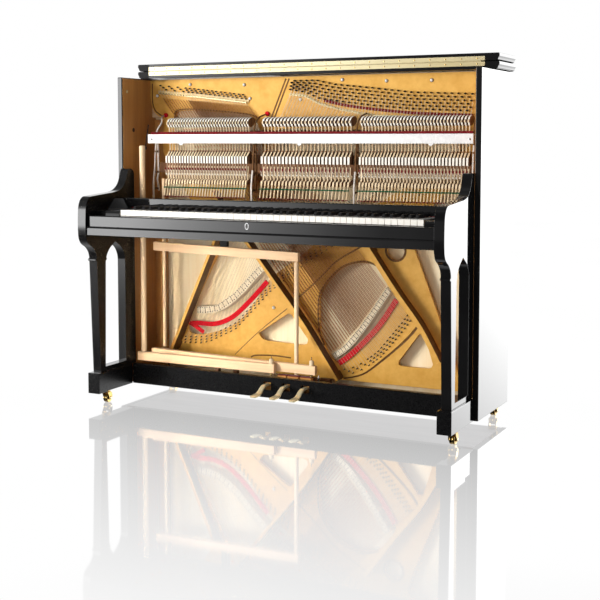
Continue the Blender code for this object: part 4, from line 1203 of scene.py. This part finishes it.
def mirror_strength(tree, parts):
    """How bright the surround looks to a reflecting surface, by direction."""
    # share of the way round from straight behind over the left, the front and the right
    turn = node(tree, "Math", [(0, parts.outputs["X"])], operation="ARCTAN2")
    back = node(tree, "Math", [(0, parts.outputs["Y"])], operation="MULTIPLY")
    back.inputs[1].default_value = -1.0
    tree.links.new(back.outputs["Value"], turn.inputs[1])
    share = spread_range(tree, turn.outputs["Value"], -math.pi, math.pi)
    front = grey_ramp(tree, share, [
        (0.3, 0.0), (0.38, 1.0), (0.402, 0.95), (0.412, 0.5), (0.422, 0.26), (0.43, 0.11), (0.438, 0.03),
        (0.455, 0.008), (0.55, 0.006), (0.7, 0.0)])
    rest = grey_ramp(tree, share, [
        (0.0, 0.17), (0.24, 0.17), (0.36, 0.0), (0.64, 0.0), (0.76, 0.17), (0.86, 0.8), (0.985, 0.8),
        (1.0, 0.17)])
    rise = spread_range(tree, parts.outputs["Z"], -0.3, 0.7)
    low = grey_ramp(tree, rise, [(0.03, 0.38), (0.28, 1.0), (0.64, 1.0), (0.8, 0.22), (1.0, 0.12)])
    level = grey_ramp(tree, rise, [
        (0.05, 0.0), (0.14, 0.09), (0.176, 0.36), (0.212, 0.88), (0.236, 1.0), (0.4, 1.0), (0.52, 0.3),
        (0.68, 0.03)])
    lit = node(tree, "Math", [(0, front), (1, level)], operation="MULTIPLY")
    dim = node(tree, "Math", [(0, rest), (1, low)], operation="MULTIPLY")
    both = node(tree, "Math", [(0, lit.outputs["Value"]), (1, dim.outputs["Value"])], operation="ADD")
    bright = node(tree, "Math", [(0, both.outputs["Value"])], operation="MULTIPLY")
    bright.inputs[1].default_value = MIRROR_GAIN
    return bright.outputs["Value"]


def grey_ramp(tree, factor, stops):
    """A ramp of greys as a value: stops are (position, grey)."""
    colour = ramp(tree, factor, [(position, (value,) * 3) for position, value in stops])
    return node(tree, "SeparateColor", [("Color", colour)]).outputs["Red"]


def build_camera():
    """A long lens at the height of the hammers, turned slightly down."""
    data = bpy.data.cameras.new("camera")
    data.sensor_width = 36.0
    data.lens = 69.89
    data.shift_y = -0.12
    data.clip_start, data.clip_end = 0.1, 60.0
    obj = bpy.data.objects.new("camera", data)
    obj.location = (2.0109, -3.9129, 1.0345)
    obj.rotation_euler = (math.pi / 2 - 0.075, 0.0, 0.466)
    bpy.context.scene.collection.objects.link(obj)
    bpy.context.scene.camera = obj


make_looks()
build_case()
build_lid()
build_keyboard_case()
build_keys()
build_hammers()
build_whippens()
build_dampers()
build_action_frame()
build_plate()
build_strings()
build_bridges()
build_trapwork()
build_rail_blocks()
build_pedals()
build_casters()
build_stage()
build_camera()
